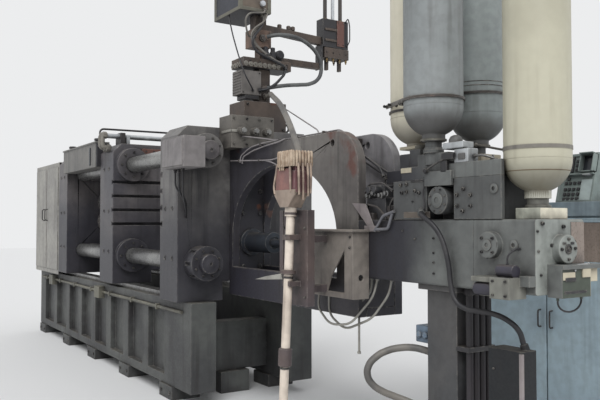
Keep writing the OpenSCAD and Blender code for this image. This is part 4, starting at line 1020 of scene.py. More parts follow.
def nut_at(place: Vector, way: Vector, diameter: float) -> Piece:
    """Makes the union nut at a pipe's end.

    Args:
        place: The pipe's end.
        way: The direction from the end along the pipe.
        diameter: The pipe's diameter.

    Returns:
        The nut.
    """
    wide = diameter * 0.85
    long = diameter * 1.1
    piece = turned([(wide * 0.9, 0), (wide, long * 0.12), (wide, long * 0.88), (wide * 0.7, long)], 6)
    piece.matrix_world = Matrix.Translation(place) @ way.to_track_quat("Z", "Y").to_matrix().to_4x4()
    return piece


def pipe(
    name: str,
    routes: list[list[Point]],
    diameter: float,
    finish: Finish | Rubber,
    bend: float = 0.05,
    nuts: bool = True,
) -> Piece:
    """Lays pipes or fixed leads as one piece.

    Args:
        name: The piece's name.
        routes: The corners of each pipe.
        diameter: The pipes' diameter.
        finish: Their finish.
        bend: How far from a corner its round starts.
        nuts: Whether a union nut sits at each end.

    Returns:
        The piece.
    """
    parts = []
    for corners in routes:
        line = rounded(corners, bend)
        parts.append(tube(line, diameter))
        if nuts:
            parts += [nut_at(end, to - end, diameter) for end, to in (line[:2], line[:-3:-1])]
    for part in parts:
        freeze(part)
    return seat(join(parts), name, finish)


def blocks(name: str, boxes: list[Box], finish: Finish, edge: float = EDGE_SMALL) -> Piece:
    """Places a set of square parts as one piece.

    Args:
        name: The piece's name.
        boxes: The lowest and highest corner of each.
        finish: Their finish.
        edge: Width of the rounding at their edges.

    Returns:
        The piece.
    """
    return seat(join([slab(low, high, edge) for low, high in boxes]), name, finish)


def rounds(
    name: str,
    places: list[Point],
    facing: Facing,
    profile: Profile,
    finish: Finish,
    sides: int = 24,
    body: str = MACHINE,
) -> Piece:
    """Places a set of like round parts as one piece.

    Args:
        name: The piece's name.
        places: Where each is seated.
        facing: The way that they look.
        profile: Radius and height of each ring.
        finish: Their finish.
        sides: Faces round each.
        body: The body that carries them.

    Returns:
        The piece.
    """
    deselect()
    turn = facing.turn()
    piece = copies(turned(profile, sides), [Matrix.Translation(place) @ turn for place in places])
    return seat(piece, name, finish, body)


def ring(centre: Point, facing: Facing, radius: float, thick: float) -> Piece:
    """Makes a round ring, such as a weld bead, a band's lip or an eye.

    Args:
        centre: Its centre.
        facing: The way that its plane looks.
        radius: Radius at the middle of its bar.
        thick: Radius of its bar.

    Returns:
        The ring.
    """
    deselect()
    bpy.ops.mesh.primitive_torus_add(
        major_radius=radius, minor_radius=thick, major_segments=64, minor_segments=8
    )
    piece = bpy.context.object
    bpy.ops.object.shade_smooth()
    piece.matrix_world = Matrix.Translation(centre) @ facing.turn()
    freeze(piece)
    return piece


def sheet_cut(corners: list[Point], depth: Point) -> Piece:
    """Makes a flat plate of any outline.

    Args:
        corners: The outline's corners in one plane.
        depth: The plate's thickness as a movement.

    Returns:
        The plate.
    """
    deselect()
    bpy.ops.mesh.primitive_circle_add(vertices=len(corners), fill_type="NGON")
    piece = bpy.context.object
    for vertex, place in zip(piece.data.vertices, corners):
        vertex.co = place
    edit_all()
    bpy.ops.mesh.extrude_region_move(TRANSFORM_OT_translate={"value": depth})
    leave_edit()
    soften(piece, EDGE_FINE)
    return piece


def tint(piece: Piece, finish: Finish, low: Point, high: Point) -> None:
    """Gives the faces inside a box another finish.

    Args:
        piece: The piece.
        finish: The finish.
        low: The box's lowest corner.
        high: Its highest corner.
    """
    piece.data.materials.append(finish.material())
    slot = len(piece.data.materials) - 1
    for face in piece.data.polygons:
        if all(a <= c <= b for a, c, b in zip(low, face.center, high)):
            face.material_index = slot


@dataclass(frozen=True)
class Hose:
    """A free hose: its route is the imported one, its length the real one."""

    name: str
    route: list[Point]
    length: float
    diameter: float
    rubber: Rubber
    stiffness: str = "medium"

    def lay(self) -> Piece:
        curve = bpy.data.curves.new(self.name, "CURVE")
        curve.dimensions = "3D"
        curve.resolution_u = 8
        spline = curve.splines.new("BEZIER")
        spline.bezier_points.add(len(self.route) - 1)
        for point, place in zip(spline.bezier_points, self.route):
            point.co = place
            point.handle_left_type = point.handle_right_type = "AUTO"
        curve.bevel_depth = self.diameter / 2
        curve.bevel_resolution = 5
        curve.use_fill_caps = True
        curve.materials.append(self.rubber.material())
        piece = put(self.name + "_line", curve)
        LOG.info("hose %s measures %.3f m", self.name, spline.calc_length())
        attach(piece, MACHINE)
        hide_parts(self.name)
        return piece


HOSES = [
    Hose(
        "lance_hose",
        [
            (0.29, 0.25, 2.8), (0.35, 0.25, 2.8), (0.44, 0.215, 2.795), (0.54, 0.15, 2.775),
            (0.7, 0.07, 2.735), (0.88, -0.02, 2.685), (1.07, -0.11, 2.63), (1.26, -0.19, 2.565),
            (1.45, -0.27, 2.485), (1.63, -0.34, 2.385), (1.8, -0.405, 2.275), (1.94, -0.46, 2.175),
            (2.04, -0.495, 2.09), (2.095, -0.515, 2.02), (2.12, -0.525, 1.96),
        ],
        2.23, 0.045, GREY_RUBBER,
    ),
    Hose(
        "loop_hose",
        [
            (2.895, -0.06, 0.79), (2.84, -0.075, 0.8), (2.78, -0.115, 0.81), (2.72, -0.17, 0.805),
            (2.67, -0.235, 0.785), (2.635, -0.3, 0.745), (2.62, -0.345, 0.69), (2.62, -0.35, 0.63),
            (2.635, -0.32, 0.575), (2.665, -0.27, 0.535), (2.705, -0.21, 0.505), (2.75, -0.155, 0.48),
            (2.8, -0.11, 0.455), (2.85, -0.075, 0.43), (2.895, -0.05, 0.41),
        ],
        1.0, 0.045, GREY_RUBBER, "limp",
    ),
    Hose(
        "post_hose",
        [
            (2.985, -0.225, 1.65), (3.015, -0.25, 1.64), (3.06, -0.26, 1.62), (3.125, -0.25, 1.57),
            (3.165, -0.235, 1.505), (3.195, -0.23, 1.43), (3.215, -0.225, 1.34), (3.23, -0.225, 1.24),
            (3.265, -0.22, 1.15), (3.325, -0.205, 1.115), (3.4, -0.175, 1.105), (3.475, -0.14, 1.095),
            (3.54, -0.105, 1.065), (3.59, -0.08, 1.015), (3.61, -0.065, 0.944),
        ],
        1.09, 0.03, DARK_RUBBER, "limp",
    ),
    Hose(
        "boom_hose",
        [
            (0.31, 0.25, 3.37), (0.345, 0.275, 3.375), (0.375, 0.32, 3.382), (0.39, 0.385, 3.388),
            (0.39, 0.48, 3.39), (0.39, 0.59, 3.368), (0.385, 0.69, 3.325), (0.38, 0.77, 3.262),
            (0.375, 0.82, 3.175), (0.375, 0.825, 3.08), (0.375, 0.785, 3.005), (0.375, 0.7, 2.955),
            (0.375, 0.58, 2.932), (0.37, 0.47, 2.918), (0.35, 0.35, 2.898), (0.29, 0.262, 2.882),
        ],
        1.43, 0.038, PALE_RUBBER, "limp",
    ),
    Hose(
        "drive_hose",
        [
            (0.3, 0.205, 3.55), (0.3, 0.205, 3.52), (0.308, 0.196, 3.485), (0.338, 0.16, 3.44),
            (0.378, 0.11, 3.39), (0.402, 0.062, 3.335), (0.406, 0.038, 3.28), (0.406, 0.046, 3.235),
            (0.406, 0.08, 3.195), (0.406, 0.135, 3.165), (0.405, 0.195, 3.145), (0.405, 0.26, 3.125),
            (0.402, 0.325, 3.105), (0.385, 0.38, 3.095), (0.35, 0.415, 3.095),
        ],
        0.82, 0.026, DARK_RUBBER, "limp",
    ),
    Hose(
        "valve_hose",
        [
            (3.85, -0.09, 1.2), (3.85, -0.09, 1.188), (3.85, -0.084, 1.174), (3.85, -0.072, 1.161),
            (3.85, -0.056, 1.151), (3.85, -0.038, 1.144), (3.85, -0.017, 1.14), (3.85, 0.004, 1.138),
            (3.85, 0.025, 1.14), (3.85, 0.046, 1.144), (3.85, 0.064, 1.151), (3.85, 0.08, 1.161),
            (3.85, 0.092, 1.174), (3.85, 0.098, 1.188), (3.85, 0.098, 1.2),
        ],
        0.25, 0.01, DARK_RUBBER, "limp",
    ),
]


@dataclass(frozen=True)
class Studio:
    """The camera, the pale floor and the soft light."""

    eye: Point = (6.236, -3.169, 1.6)
    heading: float = 57.4
    tilt: float = 1.75
    lens: float = 43.2
    floor_size: float = 80.0
    pale: Rgb = (226, 227, 228)
    backdrop: Rgb = (236, 237, 238)
    sun_way: Point = (1.0, -0.75, 1.35)
    sun_energy: float = 1.7
    sun_spread: float = 35.0
    sky_strength: float = 0.62

    def camera(self) -> None:
        """Sets the camera at the photograph's place and angle."""
        data = bpy.data.cameras.new("camera")
        data.lens = self.lens
        camera = put("camera", data)
        camera.location = self.eye
        camera.rotation_euler = (math.radians(90 + self.tilt), 0, math.radians(self.heading))
        bpy.context.scene.camera = camera

    def light(self) -> None:
        """Lights the machine softly from all round and a little more from the shot end."""
        sun = bpy.data.lights.new("sky_light", "SUN")
        sun.energy = self.sun_energy
        sun.angle = math.radians(self.sun_spread)
        put("sky_light", sun).rotation_euler = Vector(self.sun_way).to_track_quat("Z", "Y").to_euler()
        world = bpy.data.worlds.new("studio")
        bpy.context.scene.world = world
        world.use_nodes = True
        g = Graph(world.node_tree)
        path = g.node("ShaderNodeLightPath")
        seen = g.math("MAXIMUM", path.outputs["Is Camera Ray"], path.outputs["Is Glossy Ray"])
        seen = g.math("MAXIMUM", seen, path.outputs["Is Transmission Ray"])
        soft = g.node("ShaderNodeBackground", {"Color": linear(WHITE), "Strength": self.sky_strength})
        back = g.node("ShaderNodeBackground", {"Color": linear(self.backdrop), "Strength": 1.0})
        both = g.node("ShaderNodeMixShader", {0: seen, 1: soft.outputs[0], 2: back.outputs[0]})
        g.feed(both.outputs[0], world.node_tree.nodes["World Output"].inputs[0])

    def floor(self) -> None:
        """Lays the plain floor."""
        bpy.ops.mesh.primitive_plane_add(size=self.floor_size)
        floor = bpy.context.object
        floor.name = "floor"
        made = bpy.data.materials.new("floor")
        made.use_nodes = True
        shader = made.node_tree.nodes["Principled BSDF"]
        shader.inputs["Base Color"].default_value = linear(self.pale)
        shader.inputs["Roughness"].default_value = 0.9
        floor.data.materials.append(made)

    def build(self) -> None:
        """Sets up the light and the floor."""
        bpy.context.scene.view_settings.view_transform = "Standard"
        self.light()
        self.floor()


@dataclass(frozen=True)
class Bed:
    """The welded bed under the clamp end."""

    side: float = 0.62
    foot_side: float = 0.64
    foot_mids: tuple[float, ...] = (-4.7, -3.42, -2.3, -1.15, 0.0)
    bolt_z: float = 0.06
    bolt_offset: float = 0.1
    conduit_z: float = 0.81
    conduit_size: float = 0.03
    conduit_ends: tuple[float, float] = (-4.7, 0.36)
    clip_mids: tuple[float, ...] = (-4.4, -3.7, -3.0, -2.3, -1.6, -0.9, -0.2)
    box_mids: tuple[float, ...] = (-4.05, -1.95)
    box_face: float = 0.69

    def build(self) -> None:
        """Dresses the beams, members, feet and rails and adds what is fixed on them."""
        dress_all(BED_PAINT, EDGE_BROAD, "bed_beams", "bed_cross_members", "bed_feet")
        dress("slide_rails", BRIGHT_STEEL, EDGE_FINE)
        self.foot_bolts()
        self.conduit()

    def foot_bolts(self) -> None:
        """Places the levelling bolts on both sides of the feet."""
        reach = self.bolt_offset
        for side, facing in SIDES:
            places = [
                (x + d, side * self.foot_side, self.bolt_z) for x in self.foot_mids for d in (-reach, reach)
            ]
            screws(f"foot_bolts_{facing.name.lower()}", places, facing, M16, head=Head.HEX)

    def conduit(self) -> None:
        """Lays a conduit with its boxes and clips along both sides."""
        r = self.conduit_size / 2
        wall, z = self.side - 0.002, self.conduit_z
        for side, label in ((-1, "near"), (1, "far")):
            y = side * (self.side + r + 0.004)
            route = [(x, y, z) for x in self.conduit_ends]
            pipe(f"bed_conduit_{label}", [route], self.conduit_size, GUARD_PAINT, nuts=False)
            clips = [
                on_side(
                    side, (x - 0.015, wall, z - r - 0.012),
                    (x + 0.015, self.side + self.conduit_size + 0.01, z + r + 0.012)
                )
                for x in self.clip_mids
            ]
            boxes = [
                on_side(side, (x - 0.09, wall, z - 0.07), (x + 0.09, self.box_face, z + 0.06))
                for x in self.box_mids
            ]
            blocks(f"bed_clips_{label}", [*clips, *boxes], GUARD_PAINT)


@dataclass(frozen=True)
class Clamp:
    """The platens, the toggles between them and what closes them."""

    tie_pitch: float = 0.49
    axis_z: float = 1.73
    nut_face: float = 0.57
    nut_screw_circle: float = 0.117
    boss_face: float = -1.29
    boss_screw_circle: float = 0.135
    bar_end: float = 0.63
    top: float = 2.45
    platen_side: float = 0.7
    pin_end: float = 0.395
    eye_y: float = 0.52
    eye_x: tuple[float, ...] = (0.2, -1.62, -3.42)
    plug_x: tuple[float, ...] = (0.12, 0.28, -1.5, -1.66, -3.33, -3.48)
    plug_z: tuple[float, ...] = (1.28, 1.72, 2.18)
    pipe_x: tuple[float, float] = (-1.45, -1.54)
    pipe_z: float = 2.54
    thin_x: float = -1.6
    tank_lid: float = 2.51
    box_lead_x: tuple[float, ...] = (0.47, 0.55, 0.63)
    box_lead_y: float = -0.75
    door_face: float = 0.698
    pins: tuple[tuple[float, float], ...] = (
        (-3.04, 1.23), (-2.82, 1.611), (-1.96, 1.4), (-3.04, 2.23), (-2.82, 1.849), (-1.96, 2.06),
    )

    def build(self) -> None:
        """Dresses the nodes and adds the fastenings."""
        dress("fixed_platen", PLATEN_FACE, EDGE_BROAD)
        dress_all(GREASY_IRON, EDGE_BROAD, "moving_platen", "link_housing")
        dress("tie_bars", BRIGHT_STEEL, EDGE_SMALL)
        dress("tie_bar_nuts", PLATEN_FACE, EDGE_SMALL)
        dress_all(LINK_IRON, EDGE_SMALL, "ejector_cylinder", "closing_cylinder", "crosshead_guides")
        dress_all(LINK_IRON, EDGE_PLAIN, "rear_links", "front_links", "crosshead_links", "crosshead")
        dress("toggle_pins", BRIGHT_STEEL, EDGE_SMALL)
        dress("top_tank", TANK_PAINT)
        dress("nut_cover", BOX_PAINT)
        dress("rear_cover", COVER_PAINT)
        dress("top_pipes", SILVER, EDGE_FINE)
        dress("platen_valve_block", VALVE_IRON, EDGE_SMALL)
        self.bar_fastenings()
        self.pin_keepers()
        self.platen_fittings()
        self.overhead_pipes()
        self.tank_fittings()
        self.side_box()
        self.rear_panels()
        self.valve_fittings()

    def _bars(self, x: float) -> list[Point]:
        """The middles of the four tie bars at one place along the machine."""
        p = self.tie_pitch
        return [(x, y, self.axis_z + z) for y in (-p, p) for z in (-p, p)]

    def _bar_screws(self, name: str, x: float, radius: float, size: float, first: float = 0.0) -> None:
        """Places eight screws round each tie bar at one place along the machine."""
        places = [q for p in self._bars(x) for q in circle(p, Facing.SHOT_END, radius, 8, first)]
        screws(name, places, Facing.SHOT_END, size)

    def bar_fastenings(self) -> None:
        """Places the screws of the nuts and bosses and the plugs in the bars' ends."""
        self._bar_screws("nut_screws", self.nut_face, self.nut_screw_circle, M12, 22.5)
        self._bar_screws("boss_screws", self.boss_face, self.boss_screw_circle, M14)
        cap = [
            (0.0845, -0.058), (0.0845, 0.0), (0.078, 0.006), (0.04, 0.006), (0.03, 0.012), (0.014, 0.012),
            (0.014, 0.004)
        ]
        rounds("bar_caps", self._bars(self.bar_end), Facing.SHOT_END, cap, GREASY_IRON, 40)

    def pin_keepers(self) -> None:
        """Places the keeper caps on the ends of the large toggle pins, with their screws."""
        thick = 0.012
        cap = [(0.038, -0.001), (0.038, 0.008), (0.032, thick), (0.01, thick), (0.01, 0.02), (0.006, 0.022)]
        for side, facing in SIDES:
            label = facing.name.lower()
            rounds(
                f"pin_caps_{label}", [(x, side * self.pin_end, z) for x, z in self.pins], facing, cap,
                LINK_IRON
            )
            around = [
                q for x, z in self.pins
                for q in circle((x, side * (self.pin_end + thick), z), facing, 0.022, 3)
            ]
            screws(f"pin_screws_{label}", around, facing, M6)

    def platen_fittings(self) -> None:
        """Places lifting eyes, side plugs and the clamp piece on the platens' edges."""
        eyes = []
        for x in self.eye_x:
            foot = turned([(0.03, -0.002), (0.03, 0.02), (0.018, 0.026), (0.018, 0.036)], 20)
            foot.location = (x, self.eye_y, self.top)
            eyes += [foot, ring((x, self.eye_y, self.top + 0.068), Facing.SHOT_END, 0.036, 0.011)]
        seat(join(eyes), "lifting_eyes", DARK_IRON)
        plug = [(0.022, -0.001), (0.022, 0.004), (0.013, 0.004), (0.013, -0.006)]
        for side, facing in SIDES:
            places = grid(self.plug_x, side * self.platen_side, self.plug_z)
            rounds(f"side_plugs_{facing.name.lower()}", places, facing, plug, DARK_IRON)
        stop_face = -1.3
        blocks("die_stop", [((-1.352, -0.395, 2.345), (stop_face, -0.126, 2.402))], RED_IRON)
        screws("die_stop_screws", grid(stop_face, (-0.35, -0.26, -0.17), 2.373), Facing.SHOT_END, M10)

    def overhead_pipes(self) -> None:
        """Lays the elbows of the pipes over the moving platen and the thin line beside them."""
        elbows = []
        for x in self.pipe_x:
            elbows.append(
                [(x, -0.742, self.pipe_z), (x, -0.785, self.pipe_z), (x, -0.785, 2.415), (x, -0.698, 2.4)]
            )
            elbows.append([(x, 0.345, self.pipe_z), (x, 0.43, self.pipe_z), (x, 0.43, 2.448)])
        pipe("top_elbows", elbows, 0.046, GREY_STRAP, 0.035)
        thin = [(-0.698, 2.4), (-0.77, 2.4), (-0.77, 2.625), (0.12, 2.632), (0.12, 2.448)]
        pipe("top_thin_line", [[(self.thin_x, y, z) for y, z in thin]], 0.022, DARK_IRON)
        fittings = [
            ((-1.58, low, 2.448), (-1.41, high, 2.575)) for low, high in ((-0.6, -0.545), (-0.02, 0.03))
        ]
        blocks("top_fittings", fittings, LINK_IRON)

    def tank_fittings(self) -> None:
        """Places the lid screws, filler caps and level glass of the long tank."""
        lid = [(-3.14 + 0.21 * i, y, self.tank_lid) for i in range(7) for y in (-0.742, -0.606)]
        screws("tank_screws", lid, Facing.UP, M7, head=Head.HEX)
        cap = [(0.034, -0.001), (0.034, 0.022), (0.046, 0.024), (0.046, 0.044), (0.04, 0.05)]
        rounds("tank_caps", grid((-3.04, -1.97), -0.675, self.tank_lid), Facing.UP, cap, DARK_IRON)
        blocks("tank_glass", [((-2.05, -0.76, 2.25), (-2.015, -0.746, 2.45))], DARK_GLASS)
        lugs = [((x, -0.59, 2.3), (x + 0.05, -0.56, 2.42)) for x in (-3.1, -2.5, -1.95)]
        blocks("tank_lugs", lugs, GREASY_IRON)
        blocks("tank_end", [((-1.834, -0.742, 2.225), (-1.795, -0.596, 2.49))], SOOT_AND_SHADE, EDGE_PLAIN)

    def side_box(self) -> None:
        """Places the lid screws, the glands and the leads of the box beside the upper near nut."""
        screws("side_box_screws", grid((0.432, 0.818), -0.843, (2.082, 2.273)), Facing.OPERATOR, M6)
        gland = [(0.017, -0.002), (0.017, 0.016), (0.013, 0.018), (0.013, 0.032)]
        rounds(
            "side_box_glands", grid(self.box_lead_x, self.box_lead_y, 2.05), Facing.DOWN, gland, DARK_IRON, 6
        )
        leads = [
            [
                (x, self.box_lead_y, 2.03), (x, self.box_lead_y, 1.9 - i * 0.03),
                (0.47 + i * 0.01, -0.66, 1.8 - i * 0.04), (0.405, -0.62, 1.74 - i * 0.05),
            ]
            for i, x in enumerate(self.box_lead_x)
        ]
        pipe("side_box_leads", leads, 0.016, DARK_RUBBER, 0.04, nuts=False)

    def rear_panels(self) -> None:
        """Adds doors, handles and slots to the cover over the closing cylinder."""
        for side, facing in SIDES:
            label = facing.name.lower()
            doors = [
                on_side(side, (a, self.door_face, 0.96), (b, self.door_face + 0.012, 2.34))
                for a, b in ((-4.85, -4.26), (-4.23, -3.64))
            ]
            blocks(f"rear_doors_{label}", doors, COVER_PAINT, EDGE_PLAIN)
            grip = [(0.708, 1.62), (0.75, 1.63), (0.75, 1.77), (0.708, 1.78)]
            grips = [[(x, side * y, z) for y, z in grip] for x in (-4.32, -4.17)]
            pipe(f"rear_grips_{label}", grips, 0.014, DARK_IRON, 0.02, nuts=False)
        slats = [((-4.89, -0.5, z), (-4.88, 0.5, z + 0.014)) for z in [1.9 + 0.035 * i for i in range(9)]]
        blocks("rear_slats", slats, DARK_IRON, EDGE_FINE)
        handle = [(x, -0.35, z) for x, z in ((-4.05, 2.399), (-4.05, 2.44), (-3.89, 2.44), (-3.89, 2.399))]
        pipe("rear_handle", [handle], 0.016, DARK_IRON, 0.02, nuts=False)

    def valve_fittings(self) -> None:
        """Places the screws and caps of the valve block over the C frame."""
        places = grid(0.64, (-0.275, -0.148, -0.022, 0.105), (2.285, 2.512))
        screws("platen_valve_screws", places, Facing.SHOT_END, M12)
        cap = [(0.026, -0.001), (0.026, 0.01), (0.02, 0.014), (0.02, 0.022)]
        strip = [
            ((0.455, -0.306, 2.388), (0.646, -0.297, 2.412)), ((0.638, -0.306, 2.388), (0.646, -0.2, 2.412))
        ]
        blocks("platen_valve_strip", strip, PALE_STEEL, EDGE_FINE)
        screws("platen_strip_bolts", [(0.646, -0.185, 2.395)], Facing.SHOT_END, M18)
        rounds(
            "platen_valve_caps", grid(0.7, (-0.21, -0.085, 0.04), 2.4), Facing.SHOT_END, cap, BRIGHT_STEEL, 6
        )


@dataclass(frozen=True)
class ShotFrame:
    """The C-frame that carries the shot unit."""

    top: float = 2.25
    flange: float = 0.46
    flange_bolt_z: tuple[float, ...] = (1.06, 1.2, 1.68, 1.88, 2.08)
    line_y: float = -0.16

    def build(self) -> None:
        """Dresses the cheeks, the end plate and the floor and adds what is fixed on them."""
        for node in ("c_frame_near", "c_frame_end_plate", "c_frame_web"):
            # the flange face seen through the arch gets painted shade
            tint(dress(node, FRAME_RUST, 0.005), FLANGE_PAINTED_SHADE, (0.455, -0.3, 1.0), (0.465, 0.3, 2.3))
        dress("c_frame_far", FAR_FRAME, 0.005)
        bolts = grid(self.flange, (-0.085, 0.085), self.flange_bolt_z)
        screws("frame_bolts", bolts, Facing.SHOT_END, M20, head=Head.HEX)
        self.top_lines()
        self.cheek_lines()
        self.clips()
        self.slanted_lines()

    def top_lines(self) -> None:
        """Lays the thin line along the near cheek's top and its stay."""
        z = self.top + 0.012
        line = [
            (0.66, -0.2, 2.352), (1.05, -0.2, 2.292), (1.22, -0.17, z), (2.06, self.line_y, z),
            (2.16, self.line_y, 2.215), (2.24, self.line_y, 2.15),
        ]
        stay = [(0.352, 0.4, 2.7), (1.72, -0.125, 2.3), (1.8, -0.155, 2.245)]
        pipe("frame_line", [line, stay], 0.011, LINE_GREY, 0.03)

    def cheek_lines(self) -> None:
        """Lays the thin lines that follow the near cheek's arch."""
        arcs = [
            [
                (0.648, -0.217, 2.12), (0.655, -0.217, 2.175), (0.83, -0.217, 2.238), (1.04, -0.215, 2.255),
                (1.25, -0.19, 2.263)
            ],
            [
                (0.685, -0.217, 2.11), (0.7, -0.217, 2.165), (0.87, -0.217, 2.205), (1.09, -0.217, 2.228),
                (1.29, -0.217, 2.24), (1.36, -0.19, 2.262),
            ],
            [(0.47, -0.218, 2.149), (1.02, -0.218, 2.112), (1.2, -0.218, 2.104), (1.3, -0.218, 2.115)],
            [(1.1, -0.217, 2.105), (1.2, -0.217, 2.085), (1.29, -0.217, 2.052)],
        ]
        pipe("cheek_lines", arcs, 0.012, LINE_GREY, 0.06, nuts=False)

    def clips(self) -> None:
        """Places the clips that hold the lines on the cheek and on its top."""
        cheek = ((0.62, 2.139), (0.98, 2.114), (1.0, 2.245))
        holds = [((x, -0.226, z - 0.012), (x + 0.018, -0.2, z + 0.012)) for x, z in cheek]
        blocks("cheek_clips", holds, LINK_IRON, EDGE_FINE)
        top = self.top
        saddles = [((x, -0.18, top - 0.002), (x + 0.02, -0.14, top + 0.022)) for x in (1.25, 1.5, 1.86)]
        blocks("frame_clips", saddles, LINK_IRON, EDGE_FINE)

    def slanted_lines(self) -> None:
        """Lays the three slanted lines between the cheeks, with the block that holds them."""
        rods = [
            [(x, -0.1, z) for x, z in ((1.93, 2.2), (2.129, 2.133), (2.44, 1.965), (2.475, 1.905))],
            [(x, 0.02, z) for x, z in ((1.9, 2.16), (2.159, 2.054), (2.385, 1.935), (2.475, 1.9))],
            [(x, 0.1, z) for x, z in ((1.9, 2.1), (2.19, 1.959), (2.4, 1.87), (2.475, 1.87))],
        ]
        pipe("slanted_lines", rods, 0.016, DARK_IRON, 0.04)
        blocks("slanted_holder", [((1.885, -0.125, 2.07), (1.955, 0.125, 2.225))], LINK_IRON)


@dataclass(frozen=True)
class Bottles:
    """The four gas bottles: their weld beads, necks and the bands' lugs."""

    radius: float = 0.1785
    top: float = 3.56
    sites: tuple[tuple[float, float, float], ...] = (
        (3.03, -0.165, 2.11), (2.94, 0.305, 2.11), (2.59, 0.1, 2.11), (3.66, 0.0, 1.756),
    )

    def build(self) -> None:
        """Dresses the bottles and their bands and adds the beads and lugs."""
        cream = dress("cream_bottles", CREAM_PAINT, EDGE_SMALL)
        # painted light on the left bottle
        tint(cream, CREAM_LIT, (2.3, -0.2, 2.1), (3.0, 0.4, 3.7))
        # painted light on the end bottle's neck
        tint(cream, NECK_CREAM_LIT, (3.4, -0.3, 1.6), (3.85, 0.3, 1.752))
        grey = dress("grey_bottles", GREY_PAINT, EDGE_SMALL)
        # painted light on the far bottle
        tint(grey, FAR_GREY_LIT, (2.7, 0.1, 1.9), (3.2, 0.6, 3.7))
        dress("bottle_strap", LINK_IRON, 0.0015)
        self.beads()
        self.lugs()
        self.collars()

    def beads(self) -> None:
        """Places the weld beads and lines round the bottles."""
        r = self.radius
        near, far, left, end = self.sites
        for (x, y, low), finish, name in (
            (near, GREY_PAINT, "near"), (far, GREY_PAINT, "far"), (left, CREAM_PAINT, "left"),
            (end, CREAM_PAINT, "end"),
        ):
            levels = (low + r + 0.004, self.top - r - 0.004)
            rings = [ring((x, y, z), Facing.UP, r - 0.0005, 0.0022) for z in levels]
            seat(join(rings), f"beads_{name}", finish)
        seat(ring((*end[:2], 1.872), Facing.UP, 0.1672, 0.0024), "drip_line", RUST_LINE)
        strap = [(r - 0.001, 0.0), (r + 0.003, 0.0), (r + 0.003, 0.02), (r - 0.001, 0.02)]
        rounds("end_strap", [(*end[:2], 1.985)], Facing.UP, strap, GREY_STRAP, 64)
        lines = [ring((*far[:2], z), Facing.UP, r, 0.0025) for z in (2.458, 2.483)]
        seat(join(lines), "far_lines", LINK_IRON)

    def lugs(self) -> None:
        """Places the band's tightening lugs and bolts."""
        near = [((2.822, y, 2.322), (2.85, y + 0.072, 2.346)) for y in (-0.262, -0.17)]
        far = [((2.735, y, 2.402), (2.765, y + 0.07, 2.426)) for y in (0.19, 0.29)]
        blocks("band_lugs", near + far, LINK_IRON, EDGE_FINE)
        outline = [
            (3.02, -0.35, 2.32), (2.5, -0.095, 2.355), (2.47, -0.08, 2.372), (2.5, -0.095, 2.384),
            (3.02, -0.35, 2.346),
        ]
        seat(sheet_cut(outline, (0.004, 0.008, 0)), "band_link", GREY_STRAP)
        link = [[(2.53, -0.14, 2.366), (2.53, -0.06, 2.366)], [(2.62, -0.175, 2.362), (2.62, -0.1, 2.362)]]
        pipe("link_bolt", link, M12, DARK_IRON)
        band = [[(2.836, -0.27, 2.334), (2.836, -0.09, 2.334)], [(2.75, 0.18, 2.414), (2.75, 0.37, 2.414)]]
        pipe("band_bolts", band, M10, BRIGHT_STEEL)

    def collars(self) -> None:
        """Places the collars and plates round the necks."""
        near, far, left, _ = self.sites
        collar = [(0.062, 0.0), (0.062, 0.02), (0.056, 0.026), (0.056, 0.034)]
        places = [(*near[:2], 2.012), (*far[:2], 1.942), (*left[:2], 1.942)]
        rounds("neck_collars", places, Facing.UP, collar, BLOCK_PAINT, 32)
        end = [(0.07, 0.0), (0.07, 0.012), (0.06, 0.018)]
        rounds("end_neck_collar", [(3.66, 0.0, 1.676)], Facing.UP, end, SIDE_VALVE, 32)
        flange = [(0.05, 0.0), (0.079, 0.002), (0.079, 0.013), (0.05, 0.015)]
        rounds(
            "neck_flanges", [(*site[:2], 2.083) for site in (near, far)], Facing.UP, flange, GUARD_PAINT, 40
        )
        blocks("cream_plate", [((2.5, 0.02, 2.084), (2.7, 0.19, 2.105))], VALVE_CREAM)
        blocks("far_base", [((2.85, 0.215, 1.938), (3.055, 0.395, 2.03))], VALVE_CREAM, EDGE_BROAD)


